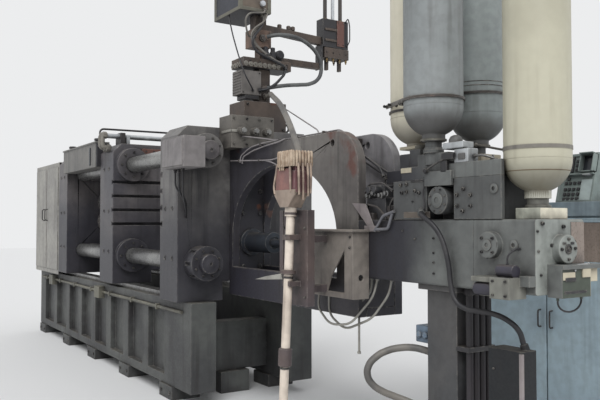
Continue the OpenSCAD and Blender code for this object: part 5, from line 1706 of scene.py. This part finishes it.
@dataclass(frozen=True)
class ShotUnit:
    """The shot block with its rod, manifolds and valves."""

    side: float = -0.195
    cap_face: float = -0.235
    end: float = 3.8
    end_cap: float = 3.85
    top: float = 1.938
    drum: Point = (3.1125, -0.215, 1.7275)
    end_cap_middle: Point = (3.85, -0.001, 1.46)
    valve_face: float = 3.884

    def build(self) -> None:
        """Dresses the nodes and adds the fastenings."""
        dress_all(BLOCK_PAINT, EDGE_PLAIN, "shot_block", "manifold_upper")
        dress_all(MANIFOLD_PAINT, EDGE_PLAIN, "valve_drum", "pilot_valves")
        # painted light on the end face
        tint(dress("shot_end_head", BLOCK_PAINT), END_FACE_LIT, (3.799, -0.3, 1.0), (3.86, 0.3, 1.7))
        base = dress("manifold_lower", MANIFOLD_PAINT)
        # painted light on the base's end face and painted shade on the face beside the bottle
        tint(base, BASE_CREAM_LIT, (3.764, -0.2, 1.6), (3.8, 0.2, 1.69))
        tint(base, BASE_CREAM_SHADED, (3.59, -0.12, 1.6), (3.764, 0.2, 1.69))
        tint(base, SIDE_VALVE, (3.58, -0.09, 1.691), (3.75, 0.09, 1.76))
        dress("shot_rod", BRIGHT_STEEL, EDGE_FINE)
        dress_all(SLEEVE_STEEL, EDGE_FINE, "plunger", "shot_sleeve")
        dress("side_bracket", BEIGE_PAINT)
        # the pillar and the low post carry painted shade near the floor
        dress("shot_pillar", PILLAR_SHADED)
        dress("low_post", POST_SHADED)
        self.side_bolts()
        self.end_bolts()
        self.drum_face()
        self.valves()
        self.neck_valves()
        self.neck_pipes()
        self.left_fittings()
        self.pillar_fittings()
        self.post_fittings()

    def _on_side(self, places: Iterable[tuple[float, float]]) -> list[Point]:
        """Sets places along and up the machine on the blocks' near side."""
        return [(x, self.side, z) for x, z in places]

    def side_bolts(self) -> None:
        """Places the bolts on the near side of the blocks."""
        large = [
            (2.768, 1.831), (2.822, 1.834), (2.778, 1.783), (2.822, 1.787), (2.901, 1.79), (2.937, 1.777),
            (3.306, 1.787), (3.256, 1.754), (3.36, 1.751), (3.256, 1.691), (3.36, 1.689), (3.299, 1.662),
        ]
        small = [(2.876, 1.726), (2.895, 1.496), (2.781, 1.546), (2.945, 1.655), (2.985, 1.655)]
        column = [(3.058, z) for z in (1.503, 1.416, 1.359, 1.295)]
        for name, places, size in (
            ("block_bolts", large, M14), ("block_screws", small, M8), ("column_screws", column, M8),
        ):
            screws(name, self._on_side(places), Facing.OPERATOR, size)
        screws("cap_bolts", grid((3.476, 3.552), self.cap_face, (1.438, 1.513)), Facing.OPERATOR, M10)
        plug = [(0.027, -0.001), (0.027, 0.006), (0.022, 0.009), (0.012, 0.009), (0.012, 0.001)]
        rounds(
            "side_plugs", self._on_side([(3.531, 1.781), (3.664, 1.478)]), Facing.OPERATOR, plug, BLOCK_PAINT
        )
        cap = [(0.03, -0.001), (0.03, 0.006), (0.013, 0.006), (0.013, 0.002)]
        rounds("side_cap_plug", [(3.514, self.cap_face, 1.476)], Facing.OPERATOR, cap, BLOCK_PAINT)
        blocks("slot_shadow", [((2.858, -0.1975, 1.842), (2.99, -0.19, 1.858))], DARK_IRON, EDGE_FINE)

    def end_bolts(self) -> None:
        """Places the bolts on the end face and on its round cap."""
        large = [
            (-0.145, 1.592), (0.021, 1.576), (-0.071, 1.479), (-0.051, 1.372), (-0.083, 1.247),
            (-0.016, 1.248)
        ]
        small = [(-0.18, 1.552), (-0.157, 1.329), (-0.174, 1.45)]
        cap = [(-0.001, 1.512), (0.052, 1.463), (-0.055, 1.46), (-0.001, 1.408)]
        for name, x, places, size in (
            ("end_bolts", self.end, large, M13), ("end_screws", self.end, small, M8),
            ("end_cap_bolts", self.end_cap, cap, M10),
        ):
            screws(name, [(x, y, z) for y, z in places], Facing.SHOT_END, size)
        hub = [
            (0.026, -0.001), (0.026, 0.004), (0.018, 0.006), (0.018, 0.001), (0.008, 0.001), (0.008, 0.006)
        ]
        rounds("end_cap_hub", [self.end_cap_middle], Facing.SHOT_END, hub, DARK_IRON)
        keys = [((3.849, y, 1.484), (3.854, y + 0.026, 1.496)) for y in (-0.046, 0.018)]
        blocks("end_cap_keys", keys, DARK_IRON, 0.001)

    def drum_face(self) -> None:
        """Places the cover's screws and hub on the round valve drum."""
        screws("drum_screws", circle(self.drum, Facing.OPERATOR, 0.066, 8, 22.5), Facing.OPERATOR, M7)
        hub = [(0.044, -0.001), (0.044, 0.005), (0.036, 0.008), (0.02, 0.008), (0.02, 0.003)]
        rounds("drum_hub", [self.drum], Facing.OPERATOR, hub, BLOCK_PAINT, 32)

    def valves(self) -> None:
        """Dresses the side and end valves in their own colours and adds their screws and lines."""
        piece = dress("shot_valves", BLOCK_PAINT, EDGE_FINE)
        for finish, low, high in (
            (VALVE_GREEN, (3.799, -0.104, 1.2), (3.92, 0.122, 1.359)),
            (VALVE_CREAM, (3.799, 0.1225, 1.28), (3.92, 0.2, 1.3595)),
            (SOLENOID, (3.6, -0.31, 1.3151), (3.74, -0.195, 1.4)),
            (SIDE_VALVE, (3.6, -0.33, 1.2), (3.741, -0.324, 1.316)),
            (SIDE_VALVE, (3.739, -0.33, 1.2), (3.741, -0.19, 1.316)),
        ):
            tint(piece, finish, low, high)
        tail = [
            ((3.47, -0.315, 1.285), (3.612, self.side, 1.312)),
            ((3.5, -0.285, 1.21), (3.612, self.side, 1.29))
        ]
        blocks("valve_tail", tail, SIDE_VALVE, EDGE_PLAIN)
        coil = [(0.03, 0.0), (0.034, 0.006), (0.034, 0.12), (0.026, 0.13), (0.01, 0.134)]
        rounds("valve_coil", [(3.612, -0.29, 1.248)], Facing.CLAMP_END, coil, SOLENOID, 28)
        screws("side_valve_screws", grid((3.633, 3.717), -0.325, (1.224, 1.296)), Facing.OPERATOR, M9)
        face = self.valve_face
        caps = [((face, 0.052, 1.315), (3.898, 0.118, 1.366)), ((face, -0.1, 1.305), (3.894, -0.005, 1.345))]
        blocks("end_valve_caps", caps, VALVE_CREAM)
        dark = [((face, -0.085, 1.298), (3.897, -0.002, 1.318)), ((face, -0.09, 1.235), (3.892, 0.09, 1.25))]
        blocks("end_valve_dark", dark, DARK_IRON)
        line = [(3.888, y, z) for y, z in ((-0.01, 1.35), (0.02, 1.379), (0.112, 1.382))]
        pipe("end_valve_line", [line], 0.011, SILVER, 0.012)
        lead = [(3.675, -0.26, 1.375), (3.675, -0.262, 1.425), (3.7, -0.23, 1.46), (3.7, -0.198, 1.46)]
        pipe("solenoid_lead", [lead], 0.01, DARK_RUBBER, 0.02)

    def neck_valves(self) -> None:
        """Places the silver, grey and dark valves between the bottles' necks, with the hand lever."""
        top = self.top
        silver = [
            ((3.225, -0.19, top), (3.334, -0.105, 2.02)), ((3.134, -0.195, 2.024), (3.3, -0.105, 2.062))
        ]
        blocks("silver_valve", silver, SILVER, EDGE_BROAD)
        blocks("silver_cap", [((3.262, -0.197, 1.958), (3.312, -0.186, 1.992))], GREY_PAINT, EDGE_PLAIN)
        blocks("brown_plate", [((3.798, 0.086, 1.325), (3.803, 0.193, 1.6))], BROWN_GLASS, 0.001)
        dome = [(0.04, 0.0), (0.04, 0.018), (0.03, 0.036), (0.014, 0.044)]
        rounds("valve_dome", [(3.2, -0.15, 2.062)], Facing.UP, dome, GREY_PAINT)
        grey = [((2.81, -0.16, top), (2.905, -0.055, 2.052)), ((2.7, -0.15, top), (2.8, -0.06, 2.03))]
        blocks("grey_valve", grey, BLOCK_PAINT, EDGE_BROAD)
        cap = [(0.04, 0.0), (0.04, 0.022), (0.03, 0.03)]
        rounds("grey_valve_cap", [(2.857, -0.105, 2.052)], Facing.UP, cap, GUARD_PAINT)
        dark = [((3.135, -0.215, 1.886), (3.19, -0.15, 1.96)), ((3.15, -0.222, 1.96), (3.245, -0.196, 2.0))]
        blocks("dark_valve", dark, DARK_IRON, EDGE_BROAD)
        lever = [(3.022, -0.222, 1.906), (3.06, -0.222, 1.926), (3.165, -0.215, 1.966)]
        pipe("valve_lever", [lever], 0.012, DARK_IRON, 0.02, nuts=False)
        knob = [(0.006, 0.0), (0.015, 0.006), (0.018, 0.014), (0.015, 0.024), (0.006, 0.028)]
        rounds("lever_knob", [(3.022, -0.21, 1.906)], Facing.OPERATOR, knob, DARK_IRON)

    def neck_pipes(self) -> None:
        """Lays the lines between the bottles' necks and the lead down the block's side."""
        link = [(3.02, 0.2, 2.088), (3.3, 0.1, 2.03), (3.5, 0.0, 1.995)]
        pipe("neck_link", [link], 0.014, GREY_STRAP, 0.03)
        lines = [
            [(3.34, -0.15, 1.975), (3.41, -0.15, 1.975), (3.45, -0.12, 1.958), (3.47, -0.1, self.top)],
            [
                (3.25, -0.03, self.top), (3.25, -0.03, 2.02), (3.1, 0.08, 2.04), (2.99, 0.18, 2.0),
                (2.96, 0.215, 1.98)
            ],
            [(3.31, 0.04, self.top), (3.31, 0.04, 1.99), (3.2, 0.16, 1.99), (3.06, 0.26, 1.97)],
        ]
        pipe("neck_lines", lines, 0.014, BRIGHT_STEEL, 0.03)
        lead = [
            (2.99, -0.2, 1.872), (2.985, -0.206, 1.8), (2.978, -0.206, 1.763), (2.996, -0.206, 1.7),
            (2.985, -0.21, 1.652),
        ]
        pipe("block_lead", [lead], 0.009, DARK_RUBBER, 0.02)

    def left_fittings(self) -> None:
        """Places the gusset, the bluish bracket and the crowded fittings left of the blocks."""
        outline = [(x, -0.205, z) for x, z in ((2.262, 1.729), (2.412, 1.722), (2.515, 1.552), (2.47, 1.54))]
        seat(sheet_cut(outline, (0, 0.008, 0)), "gusset", GUSSET_STEEL)
        blocks("gusset_foot", [((2.4, -0.206, 1.537), (2.56, -0.19, 1.575))], GUSSET_STEEL)
        arms = [
            [(2.526, -0.216, 1.541), (2.615, -0.216, 1.64), (2.72, -0.212, 1.668)],
            [(2.545, -0.216, 1.552), (2.66, -0.216, 1.556), (2.7, -0.212, 1.655)],
        ]
        pipe("blue_bracket", arms, 0.02, BLUE_IRON, 0.02, nuts=False)
        stubs = [(x, -0.15, z) for x, z in ((2.4, 1.775), (2.46, 1.79), (2.53, 1.775), (2.59, 1.785))]
        body = [(0.02, -0.001), (0.02, 0.02), (0.014, 0.024), (0.014, 0.04), (0.008, 0.044)]
        rounds("left_stubs", stubs, Facing.OPERATOR, body, BRIGHT_STEEL, 12)
        runs = [
            [(2.37, -0.17, 1.8), (2.42, -0.175, 1.855), (2.56, -0.175, 1.855), (2.66, -0.17, 1.8)],
            [
                (2.36, -0.12, 1.7), (2.4, -0.185, 1.72), (2.52, -0.19, 1.7), (2.6, -0.19, 1.64),
                (2.65, -0.18, 1.617)
            ],
            [(2.44, -0.06, 1.845), (2.44, -0.06, 1.89), (2.465, -0.06, 1.9)],
            [(2.62, -0.16, 1.617), (2.62, -0.17, 1.7), (2.66, -0.17, 1.755), (2.694, -0.15, 1.76)],
        ]
        pipe("left_lines", runs, 0.014, LINK_IRON, 0.03)
        feet = [((2.575, -0.15, 1.613), (2.655, -0.05, 1.705)), ((2.4, -0.19, 1.613), (2.475, -0.155, 1.66))]
        blocks("left_blocks", feet, LINK_IRON)
        blocks("block_stain", [((2.792, -0.1975, 1.625), (3.028, -0.19, 1.662))], BROWN_PANEL, EDGE_FINE)
        blocks("left_patch", [((2.768, -0.199, 1.905), (2.865, -0.19, 1.936))], VALVE_CREAM, EDGE_FINE)

    def pillar_fittings(self) -> None:
        """Adds lines, clips and fittings to the pillar under the block."""
        x = 3.246
        hoses = [
            [(x, y, 1.224), (x, y, 0.3), (x, y, 0.16), (3.2, y + 0.14, 0.055), (3.15, 0.285, 0.055)]
            for y in (-0.095, -0.045, 0.005, 0.055)
        ]
        pipe("pillar_lines", hoses, 0.042, BLACK_PIPE, 0.06)
        blocks("pillar_floor_block", [((3.02, 0.27, 0.0), (3.3, 0.37, 0.115))], BED_PAINT, 0.005)
        blocks("pillar_clips", [((3.17, -0.13, z), (3.272, 0.09, z + 0.03)) for z in (0.35, 0.85)], DARK_IRON)
        blocks("pillar_fitting", [((2.79, -0.1, 0.85), (2.926, 0.02, 0.955))], PALE_BLUE, EDGE_BROAD)
        cap = [(0.022, -0.001), (0.022, 0.014), (0.014, 0.02)]
        rounds("pillar_fitting_caps", grid((2.83, 2.885), -0.1, 0.9), Facing.OPERATOR, cap, PALE_BLUE, 6)
        feet = grid((2.905, 3.195), (-0.145, 0.145), 0.035)
        screws("pillar_foot_bolts", feet, Facing.UP, M12, head=Head.HEX)

    def post_fittings(self) -> None:
        """Adds the strip and screws of the low post, the drain lines and the bracket's screws."""
        blocks("post_strip", [((3.648, -0.149, 0.06), (3.668, -0.13, 0.905))], GUSSET_STEEL, EDGE_FINE)
        screws("post_screws", grid(3.47, -0.143, (0.12, 0.45, 0.8)), Facing.OPERATOR, M8)
        drains = [
            [(2.4, -0.14, 1.226), (2.4, -0.15, 1.12), (2.282, -0.16, 1.05), (2.282, -0.16, 0.7)],
            [
                (1.9, -0.23, 1.092), (1.9, -0.24, 0.98), (2.06, -0.25, 0.88), (2.26, -0.22, 0.9),
                (2.44, -0.16, 1.1), (2.46, -0.14, 1.226),
            ],
            [
                (1.98, -0.2, 1.092), (1.98, -0.2, 0.94), (2.16, -0.19, 0.85), (2.4, -0.14, 0.95),
                (2.54, -0.11, 1.12), (2.56, -0.1, 1.226),
            ],
        ]
        pipe("under_lines", drains, 0.016, PALE_STEEL, 0.07)
        screws("bracket_screws", grid((1.9, 2.41), -0.33, (1.5, 1.43)), Facing.OPERATOR, M10)


@dataclass(frozen=True)
class Sprayer:
    """The spray robot on the fixed platen."""

    rod_ys: tuple[float, float] = (0.995, 1.185)
    rod_x: float = 0.2
    roller_pitch: float = 0.051
    roller_z: float = 3.087
    fin_pitch: float = 0.026
    lead_pitch: float = 0.017

    def build(self) -> None:
        """Dresses the nodes and adds the drives' fittings and leads."""
        dress("sprayer_post", SPRAYER_IRON, EDGE_SMALL)
        boom = dress("sprayer_boom", SPRAYER_IRON, EDGE_SMALL)
        # painted shade on the boom's underside
        tint(boom, SOOT_AND_SHADE, (0.0, -0.1, 3.059), (0.4, 0.6, 3.061))
        drives = dress("sprayer_drives", SPRAYER_IRON, EDGE_SMALL)
        tint(drives, MOTOR_PAINT, (0.1, -0.03, 2.79), (0.31, 0.2, 3.04))
        tint(drives, GEARBOX_RUST, (0.11, 0.11, 3.16), (0.33, 0.311, 3.445))
        dress("ram_guide", DARK_IRON, EDGE_SMALL)
        box = dress("sprayer_box", GUARD_PAINT)
        tint(box, BOX_DARK, (-0.16, -0.0615, 3.61), (0.32, -0.0585, 3.95))
        tint(box, BROWN_PANEL, (0.338, -0.04, 3.61), (0.342, 0.24, 3.95))
        # painted shade on the box's underside
        tint(box, SOOT_AND_SHADE, (-0.2, -0.08, 3.579), (0.36, 0.28, 3.581))
        rods = dress("ram_rods", CHROME, EDGE_FINE, RAM)
        for y in self.rod_ys:
            tint(rods, LINK_IRON, (0.0, y - 0.045, 3.3), (0.4, y + 0.045, 4.4))
        dress("ram_foot", SPRAYER_IRON, EDGE_SMALL, RAM)
        self.arm_rollers()
        self.arm_pots()
        self.motor()
        self.ram()
        self.bundle()
        self.leads()

    def arm_rollers(self) -> None:
        """Places the rows of rollers under the arm."""
        roller = [(0.025, -0.01), (0.025, 0.008), (0.019, 0.012), (0.008, 0.012), (0.008, 0.018)]
        front = [(0.318, 0.014 + self.roller_pitch * i, self.roller_z) for i in range(8)]
        rounds("arm_rollers", front, Facing.SHOT_END, roller, GREY_STRAP, 20)
        near = [(0.11 + self.roller_pitch * i, -0.012, self.roller_z) for i in range(4)]
        rounds("arm_side_rollers", near, Facing.OPERATOR, roller, GREY_STRAP, 20)

    def arm_pots(self) -> None:
        """Places what stands on the arm, the knobs on the upper bar and the knob of the box."""
        pot = [(0.026, 0.0), (0.034, 0.01), (0.034, 0.075), (0.022, 0.09), (0.022, 0.125), (0.012, 0.13)]
        rounds("arm_pots", grid(0.285, (0.245, 0.325), 3.15), Facing.UP, pot, SOOT_AND_SHADE)
        coil = [(0.04, -0.08), (0.046, -0.07), (0.046, 0.0), (0.03, 0.014)]
        rounds("arm_coil", [(0.3, 0.4, 3.215)], Facing.SHOT_END, coil, SOOT_AND_SHADE)
        blocks("arm_coil_foot", [((0.235, 0.37, 3.148), (0.285, 0.43, 3.2))], SOOT_AND_SHADE)
        knob = [(0.01, -0.002), (0.01, 0.02), (0.022, 0.026), (0.022, 0.058), (0.014, 0.064)]
        rounds("bar_knobs", grid(0.2, (0.45, 0.555, 0.605), 3.48), Facing.UP, knob, SPRAYER_IRON, 12)
        knob = [(0.02, -0.002), (0.02, 0.012), (0.03, 0.016), (0.026, 0.032), (0.01, 0.038)]
        rounds("box_knob", [(0.342, 0.17, 3.665)], Facing.SHOT_END, knob, CHROME)
        screws("arm_bolts", grid(0.32, (0.06, 0.16, 0.36, 0.46), 3.115), Facing.SHOT_END, M10)

    def motor(self) -> None:
        """Places the fins and the cap of the motor box and the screws of the gearbox."""
        fins = [
            ((0.128, -0.03, z), (0.292, -0.02, z + 0.006))
            for z in [2.826 + self.fin_pitch * i for i in range(8)]
        ]
        blocks("motor_fins", fins, MOTOR_PAINT, 0.001)
        screws("motor_screws", grid(0.3, (-0.004, 0.17), (2.82, 3.01)), Facing.SHOT_END, M7)
        blocks("motor_foot", [((0.125, 0.02, 2.758), (0.295, 0.17, 2.802))], DARK_IRON, EDGE_BROAD)
        screws("gearbox_screws", grid(0.28, (0.13, 0.295), (3.29, 3.42)), Facing.SHOT_END, M8)
        flange = [(0.034, -0.002), (0.034, 0.018), (0.026, 0.022), (0.026, 0.04)]
        rounds("gearbox_flange", [(0.28, 0.212, 3.356)], Facing.SHOT_END, flange, LINK_IRON)
        screws("pedestal_bolts", grid(0.36, (0.01, 0.395), (2.48, 2.7)), Facing.SHOT_END, M14)

    def ram(self) -> None:
        """Places the plates and clamps of the ram's guide and the nozzles on its foot."""
        blocks("ram_plate", [((0.258, 1.1, 3.4), (0.268, 1.19, 3.665))], RED_IRON, EDGE_FINE)
        screws("ram_plate_screws", grid(0.268, (1.115, 1.175), (3.42, 3.645)), Facing.SHOT_END, M6)
        blocks(
            "ram_clamps", [((0.125, 0.955, z), (0.275, 1.09, z + 0.022)) for z in (3.44, 3.55)], SPRAYER_IRON
        )
        collar = [(0.026, -0.001), (0.026, 0.016), (0.02, 0.02)]
        rounds("ram_seals", grid(self.rod_x, self.rod_ys, 3.67), Facing.UP, collar, BRASS)
        nozzle = [(0.012, -0.001), (0.012, 0.03), (0.007, 0.034), (0.007, 0.048)]
        nozzles = grid((0.15, 0.25), (0.98, 1.06, 1.14, 1.22), 3.275)
        rounds("ram_nozzles", nozzles, Facing.DOWN, nozzle, BRASS, 12, RAM)
        screws("ram_foot_screws", grid(0.27, (0.97, 1.05, 1.13, 1.21), 3.325), Facing.SHOT_END, M8, body=RAM)
        line = [
            (0.262, 1.21, 3.66), (0.3, 1.215, 3.7), (0.3, 1.236, 3.62), (0.3, 1.236, 3.46),
            (0.262, 1.225, 3.41)
        ]
        pipe("ram_line", [line], 0.012, DARK_RUBBER, 0.03)

    def bundle(self) -> None:
        """Lays the bundle of leads that is tied along the drives."""
        leads = []
        for d in [self.lead_pitch * i for i in range(3)]:
            half = d / 2
            leads.append(
                [
                    (0.345 - d, 0.232 - d, 3.584), (0.345 - half, 0.205, 3.51),
                    (0.348 - half, 0.085 + d, 3.42), (0.348 - half, 0.045 + d, 3.345),
                    (0.35 - half, 0.085 + d, 3.27), (0.352 - half, 0.18 + d, 3.205),
                    (0.352 - half, 0.29 + d, 3.15), (0.345 - d, 0.36, 3.135 - d), (0.316, 0.4, 3.13 - d),
                ]
            )
        pipe("lead_bundle", leads, 0.016, GREY_RUBBER, 0.06, nuts=False)
        ties = [((0.312, 0.064, 3.33), (0.362, 0.104, 3.342)), ((0.312, 0.2, 3.18), (0.362, 0.26, 3.192))]
        blocks("lead_ties", ties, DARK_IRON, EDGE_FINE)

    def leads(self) -> None:
        """Lays the single leads between the box, the arm and the motor."""
        loop = [
            (0.352, 0.2, 3.62), (0.375, 0.18, 3.575), (0.372, 0.02, 3.552), (0.368, -0.022, 3.487),
            (0.35, 0.003, 3.395), (0.3, 0.05, 3.35), (0.282, 0.12, 3.345),
        ]
        pipe("box_loop", [loop], 0.018, GREY_RUBBER, 0.06)
        slack = [
            (0.1, -0.055, 3.582), (0.134, -0.06, 3.505), (0.198, -0.062, 3.366), (0.281, -0.06, 3.205),
            (0.35, -0.05, 3.06), (0.372, -0.02, 2.96), (0.35, 0.06, 2.86), (0.302, 0.1, 2.84),
        ]
        pipe("thin_lead", [slack], 0.013, DARK_RUBBER, 0.06)
        black = [
            (0.345, 0.43, 3.09), (0.36, 0.415, 3.02), (0.36, 0.313, 2.912), (0.345, 0.215, 2.85),
            (0.302, 0.16, 2.85)
        ]
        pipe("motor_lead", [black], 0.026, DARK_RUBBER, 0.05)


@dataclass(frozen=True)
class Lance:
    """The hand spray lance and the channel that holds it."""

    foot_y: float = -0.686
    lean: float = math.tan(math.radians(2.6))
    x: float = 2.12
    front: float = -0.672
    right: float = 2.232
    rib_pitch: float = 0.0234
    rib_step: float = 0.003

    def build(self) -> None:
        """Dresses the nodes and adds the rings, clamps and front tubes."""
        head = dress("lance_head", LANCE_PAINT, EDGE_FINE)
        tint(head, FLANGE_BEIGE, (1.9, -0.8, 1.6), (2.4, -0.4, 1.8))
        dress("lance_pipe", LANCE_CREAM, EDGE_FINE)
        dress("lance_channel", CHANNEL_IRON, EDGE_SMALL)
        self.rings()
        self.crown()
        self.front_tubes()
        self.clamp_screws()

    def _on_axis(self, z: float) -> Point:
        """The lance's middle at one height."""
        return (self.x, self.foot_y + self.lean * z, z)

    def _ringed(self, z: float, profile: Profile) -> Piece:
        """Makes a round part on the leaning pipe at one height."""
        piece = turned(profile, 28)
        piece.matrix_world = Matrix.Translation(self._on_axis(z)) @ Matrix.Rotation(
            -math.atan(self.lean), 4, "X"
        )
        return piece

    def rings(self) -> None:
        """Places the collars and the coupling on the pipe."""
        collars = [
            self._ringed(1.645, [(0.034, 0), (0.044, 0.004), (0.044, 0.018), (0.034, 0.022)]),
            self._ringed(1.25, [(0.036, 0), (0.05, 0.004), (0.05, 0.026), (0.036, 0.03)]),
            self._ringed(0.64, [(0.036, 0), (0.046, 0.006), (0.046, 0.115), (0.036, 0.122)]),
        ]
        seat(join(collars), "lance_collars", CHANNEL_IRON)
        seal = [(0.0315, 0), (0.0335, 0.002), (0.0335, 0.012), (0.0315, 0.014)]
        seals = [self._ringed(z, seal) for z in (1.5, 1.222, 0.622)]
        seat(join(seals), "lance_seals", DARK_IRON)

    def crown(self) -> None:
        """Places the ribbed crown with its tips and the reddish panel under it."""
        front, right, pitch, step = self.front, self.right, self.rib_pitch, self.rib_step
        ribs = [(2.068 + pitch * i, front - step * (i % 2), 0.0) for i in range(8)]
        ribs += [(right + step * (i % 2), front + 0.012 + pitch * i, 0.0) for i in range(7)]
        rib = [(0.007, 1.968), (0.0115, 1.976), (0.0115, 2.062), (0.008, 2.072), (0.003, 2.076)]
        rounds("crown_ribs", ribs, Facing.UP, rib, CROWN_TAN, 14)
        blocks("crown_band", [((2.062, front, 1.97), (right, -0.515, 2.06))], FLANGE_BEIGE, EDGE_BROAD)
        blocks("lance_blush", [((2.01, -0.662, 1.802), (2.195, -0.65, 1.958))], LANCE_BLUSH)
        tips = [[(x, front + 0.004, 1.99), (x, front + 0.004, 1.945)] for x in (2.075, 2.1, 2.122)]
        pipe("crown_tips", tips, 0.015, CROWN_TAN, 0.01, nuts=False)

    def front_tubes(self) -> None:
        """Places the tubes that run down from the crown, the flange plate and the channel's lip."""
        tubes = [
            [(2.03, -0.662, 1.99), (2.016, -0.662, 1.93), (1.988, -0.664, 1.84), (2.004, -0.664, 1.79)],
            [(2.205, -0.67, 1.99), (2.205, -0.667, 1.9), (2.205, -0.664, 1.8)],
            [(2.246, -0.63, 1.99), (2.252, -0.63, 1.9), (2.25, -0.628, 1.78)],
            [(2.246, -0.597, 1.99), (2.252, -0.597, 1.9), (2.25, -0.595, 1.745)],
            [(2.246, -0.56, 1.99), (2.252, -0.558, 1.9), (2.25, -0.556, 1.77)],
            [(2.246, -0.533, 1.99), (2.25, -0.533, 1.9), (2.246, -0.535, 1.79)],
        ]
        pipe("lance_tubes", tubes, 0.017, COPPER_TUBE, 0.03, nuts=False)
        corners = (
            (1.994, 1.815), (2.248, 1.815), (2.248, 1.775), (2.17, 1.698), (2.07, 1.698), (1.994, 1.782)
        )
        plate = sheet_cut([(x, -0.666, z) for x, z in corners], (0, 0.014, 0))
        seat(plate, "lance_flange", FLANGE_BEIGE)
        blocks("channel_lip", [((1.9, -0.566, 1.24), (1.946, -0.556, 1.68))], CHANNEL_IRON)

    def clamp_screws(self) -> None:
        """Places the screws of the clamps that hold the lance on its channel, and the lever of the lower one."""
        corners = ((2.085, 1.215), (2.06, 1.252), (1.86, 1.222), (1.7, 1.19), (1.86, 1.198))
        lever = sheet_cut([(x, -0.655, z) for x, z in corners], (0, 0.012, 0))
        seat(lever, "lance_lever", PALE_STEEL)
        screws("lance_clamp_screws", grid((1.96, 2.22), -0.56, (1.1, 1.56)), Facing.OPERATOR, M10)


@dataclass(frozen=True)
class Controls:
    """The control cabinet and the keypad on it."""

    front: float = 1.1
    left: float = 2.05
    right: float = 3.61
    key: float = 0.02
    key_rise: float = 0.004
    columns: tuple[float, ...] = (2.966, 2.999, 3.035, 3.071)
    rows: tuple[float, ...] = (0.018, 0.053, 0.089, 0.133)
    screen: tuple[float, float] = (3.135, 0.273)
    lean: float = math.atan2(0.09, 0.34)
    foot: tuple[float, float] = (1.12, 1.74)
    window_x: tuple[float, float] = (3.025, 3.56)
    window_z: tuple[float, float] = (1.315, 1.612)
    window_bar: float = 0.015

    def build(self) -> None:
        """Dresses the nodes and adds the keys, the hood, the handles and the hinges."""
        cabinet = dress("control_cabinet", CABINET_PAINT)
        tint(cabinet, BLUE_DESK, (2.0, 1.09, 1.641), (3.7, 1.11, 1.75))
        dress("keypad_panel", KEYPAD_PAINT, EDGE_SMALL)
        self.keys()
        self.hood()
        self.doors()
        self.window()

    def _tilted(self, parts: list[Piece]) -> Piece:
        """Joins parts that were made on an upright plane and leans them back with the keypad's face."""
        piece = join(parts)
        y, z = self.foot
        freeze(piece)
        piece.matrix_world = Matrix.Translation((0, y, z)) @ Matrix.Rotation(-self.lean, 4, "X")
        return piece

    def _square(self, x: float, height: float, wide: float, tall: float, out: float) -> Piece:
        """Makes a square part on the keypad's plane, with its middle at a place along and up the plane."""
        return slab(
            (x - wide / 2, -out, height - tall / 2), (x + wide / 2, 0.012, height + tall / 2), EDGE_FINE
        )

    def keys(self) -> None:
        """Places the keys, the pale plate beside them and the ledge above them."""
        key, rise = self.key, self.key_rise
        caps = [self._square(x, h + 0.004, key, key, rise) for x in self.columns for h in self.rows]
        caps += [self._square(3.035, h, key * 0.9, key * 0.9, rise) for h in (0.233, 0.266, 0.298)]
        caps += [self._square(3.0, 0.272, 0.018, 0.112, 0.006), self._square(2.984, 0.168, key, key, rise)]
        seat(self._tilted(caps), "keys", BLACK_PLASTIC)
        for name, sizes, finish in (
            ("keypad_plate", (3.133, 0.085, 0.085, 0.15, 0.001), PALE_PLATE),
            ("keypad_ledge", (3.045, 0.196, 0.285, 0.01, 0.022), KEYPAD_PAINT),
            ("keypad_grip", (3.135, 0.189, 0.06, 0.008, 0.026), SILVER),
        ):
            seat(self._tilted([self._square(*sizes)]), name, finish)

    def hood(self) -> None:
        """Places the hooded screen beside the upper keys."""
        x, height = self.screen
        walls = [
            self._square(x, 0.335, 0.11, 0.008, 0.06), self._square(x, 0.212, 0.11, 0.008, 0.03),
            self._square(3.084, height, 0.008, 0.13, 0.045), self._square(3.186, height, 0.008, 0.13, 0.045),
        ]
        seat(self._tilted(walls), "screen_hood", KEYPAD_PAINT)
        seat(self._tilted([self._square(x, height, 0.094, 0.115, 0.002)]), "screen", DARK_GLASS)

    def doors(self) -> None:
        """Places the handles and hinges of the cabinet's doors."""
        middle, wall, out = (self.left + self.right) / 2, self.front + 0.002, self.front - 0.03
        z = 0.85
        grips = [
            [(x, wall, z), (x, out, z), (x, out, z + 0.12), (x, wall, z + 0.12)]
            for x in (middle - 0.05, middle + 0.05)
        ]
        pipe("cabinet_grips", grips, 0.012, DARK_IRON, 0.015, nuts=False)
        places = grid((self.left + 0.008, self.right - 0.008), self.front + 0.004, (0.3, 0.9, 1.45))
        rounds("cabinet_hinges", places, Facing.UP, [(0.009, 0.0), (0.009, 0.07)], CABINET_PAINT, 12)

    def window(self) -> None:
        """Places the brown window of the cabinet in its frame."""
        (left, right), (low, high), bar = self.window_x, self.window_z, self.window_bar
        spans = (
            (left, right, low, low + bar), (left, right, high - bar, high), (left, left + bar, low, high),
            (right - bar, right, low, high),
        )
        rails = [((x0, 1.094, z0), (x1, 1.104, z1)) for x0, x1, z0, z1 in spans]
        blocks("window_frame", rails, CABINET_PAINT, EDGE_FINE)
        blocks("window", [((3.035, 1.097, 1.325), (3.55, 1.103, 1.602))], BROWN_GLASS, EDGE_FINE)


def main() -> None:
    """Builds the machine's looks in order."""
    logging.basicConfig(level=logging.INFO, format="%(message)s")
    studio = Studio()
    studio.camera()
    for hose in HOSES:
        hose.lay()
    Effects().build()
    for part in (Bed(), Clamp(), ShotFrame(), ShotUnit(), Bottles(), Sprayer(), Lance(), Controls()):
        part.build()
        LOG.info("built %s", type(part).__name__)
    studio.build()


if __name__ == "__main__":
    main()
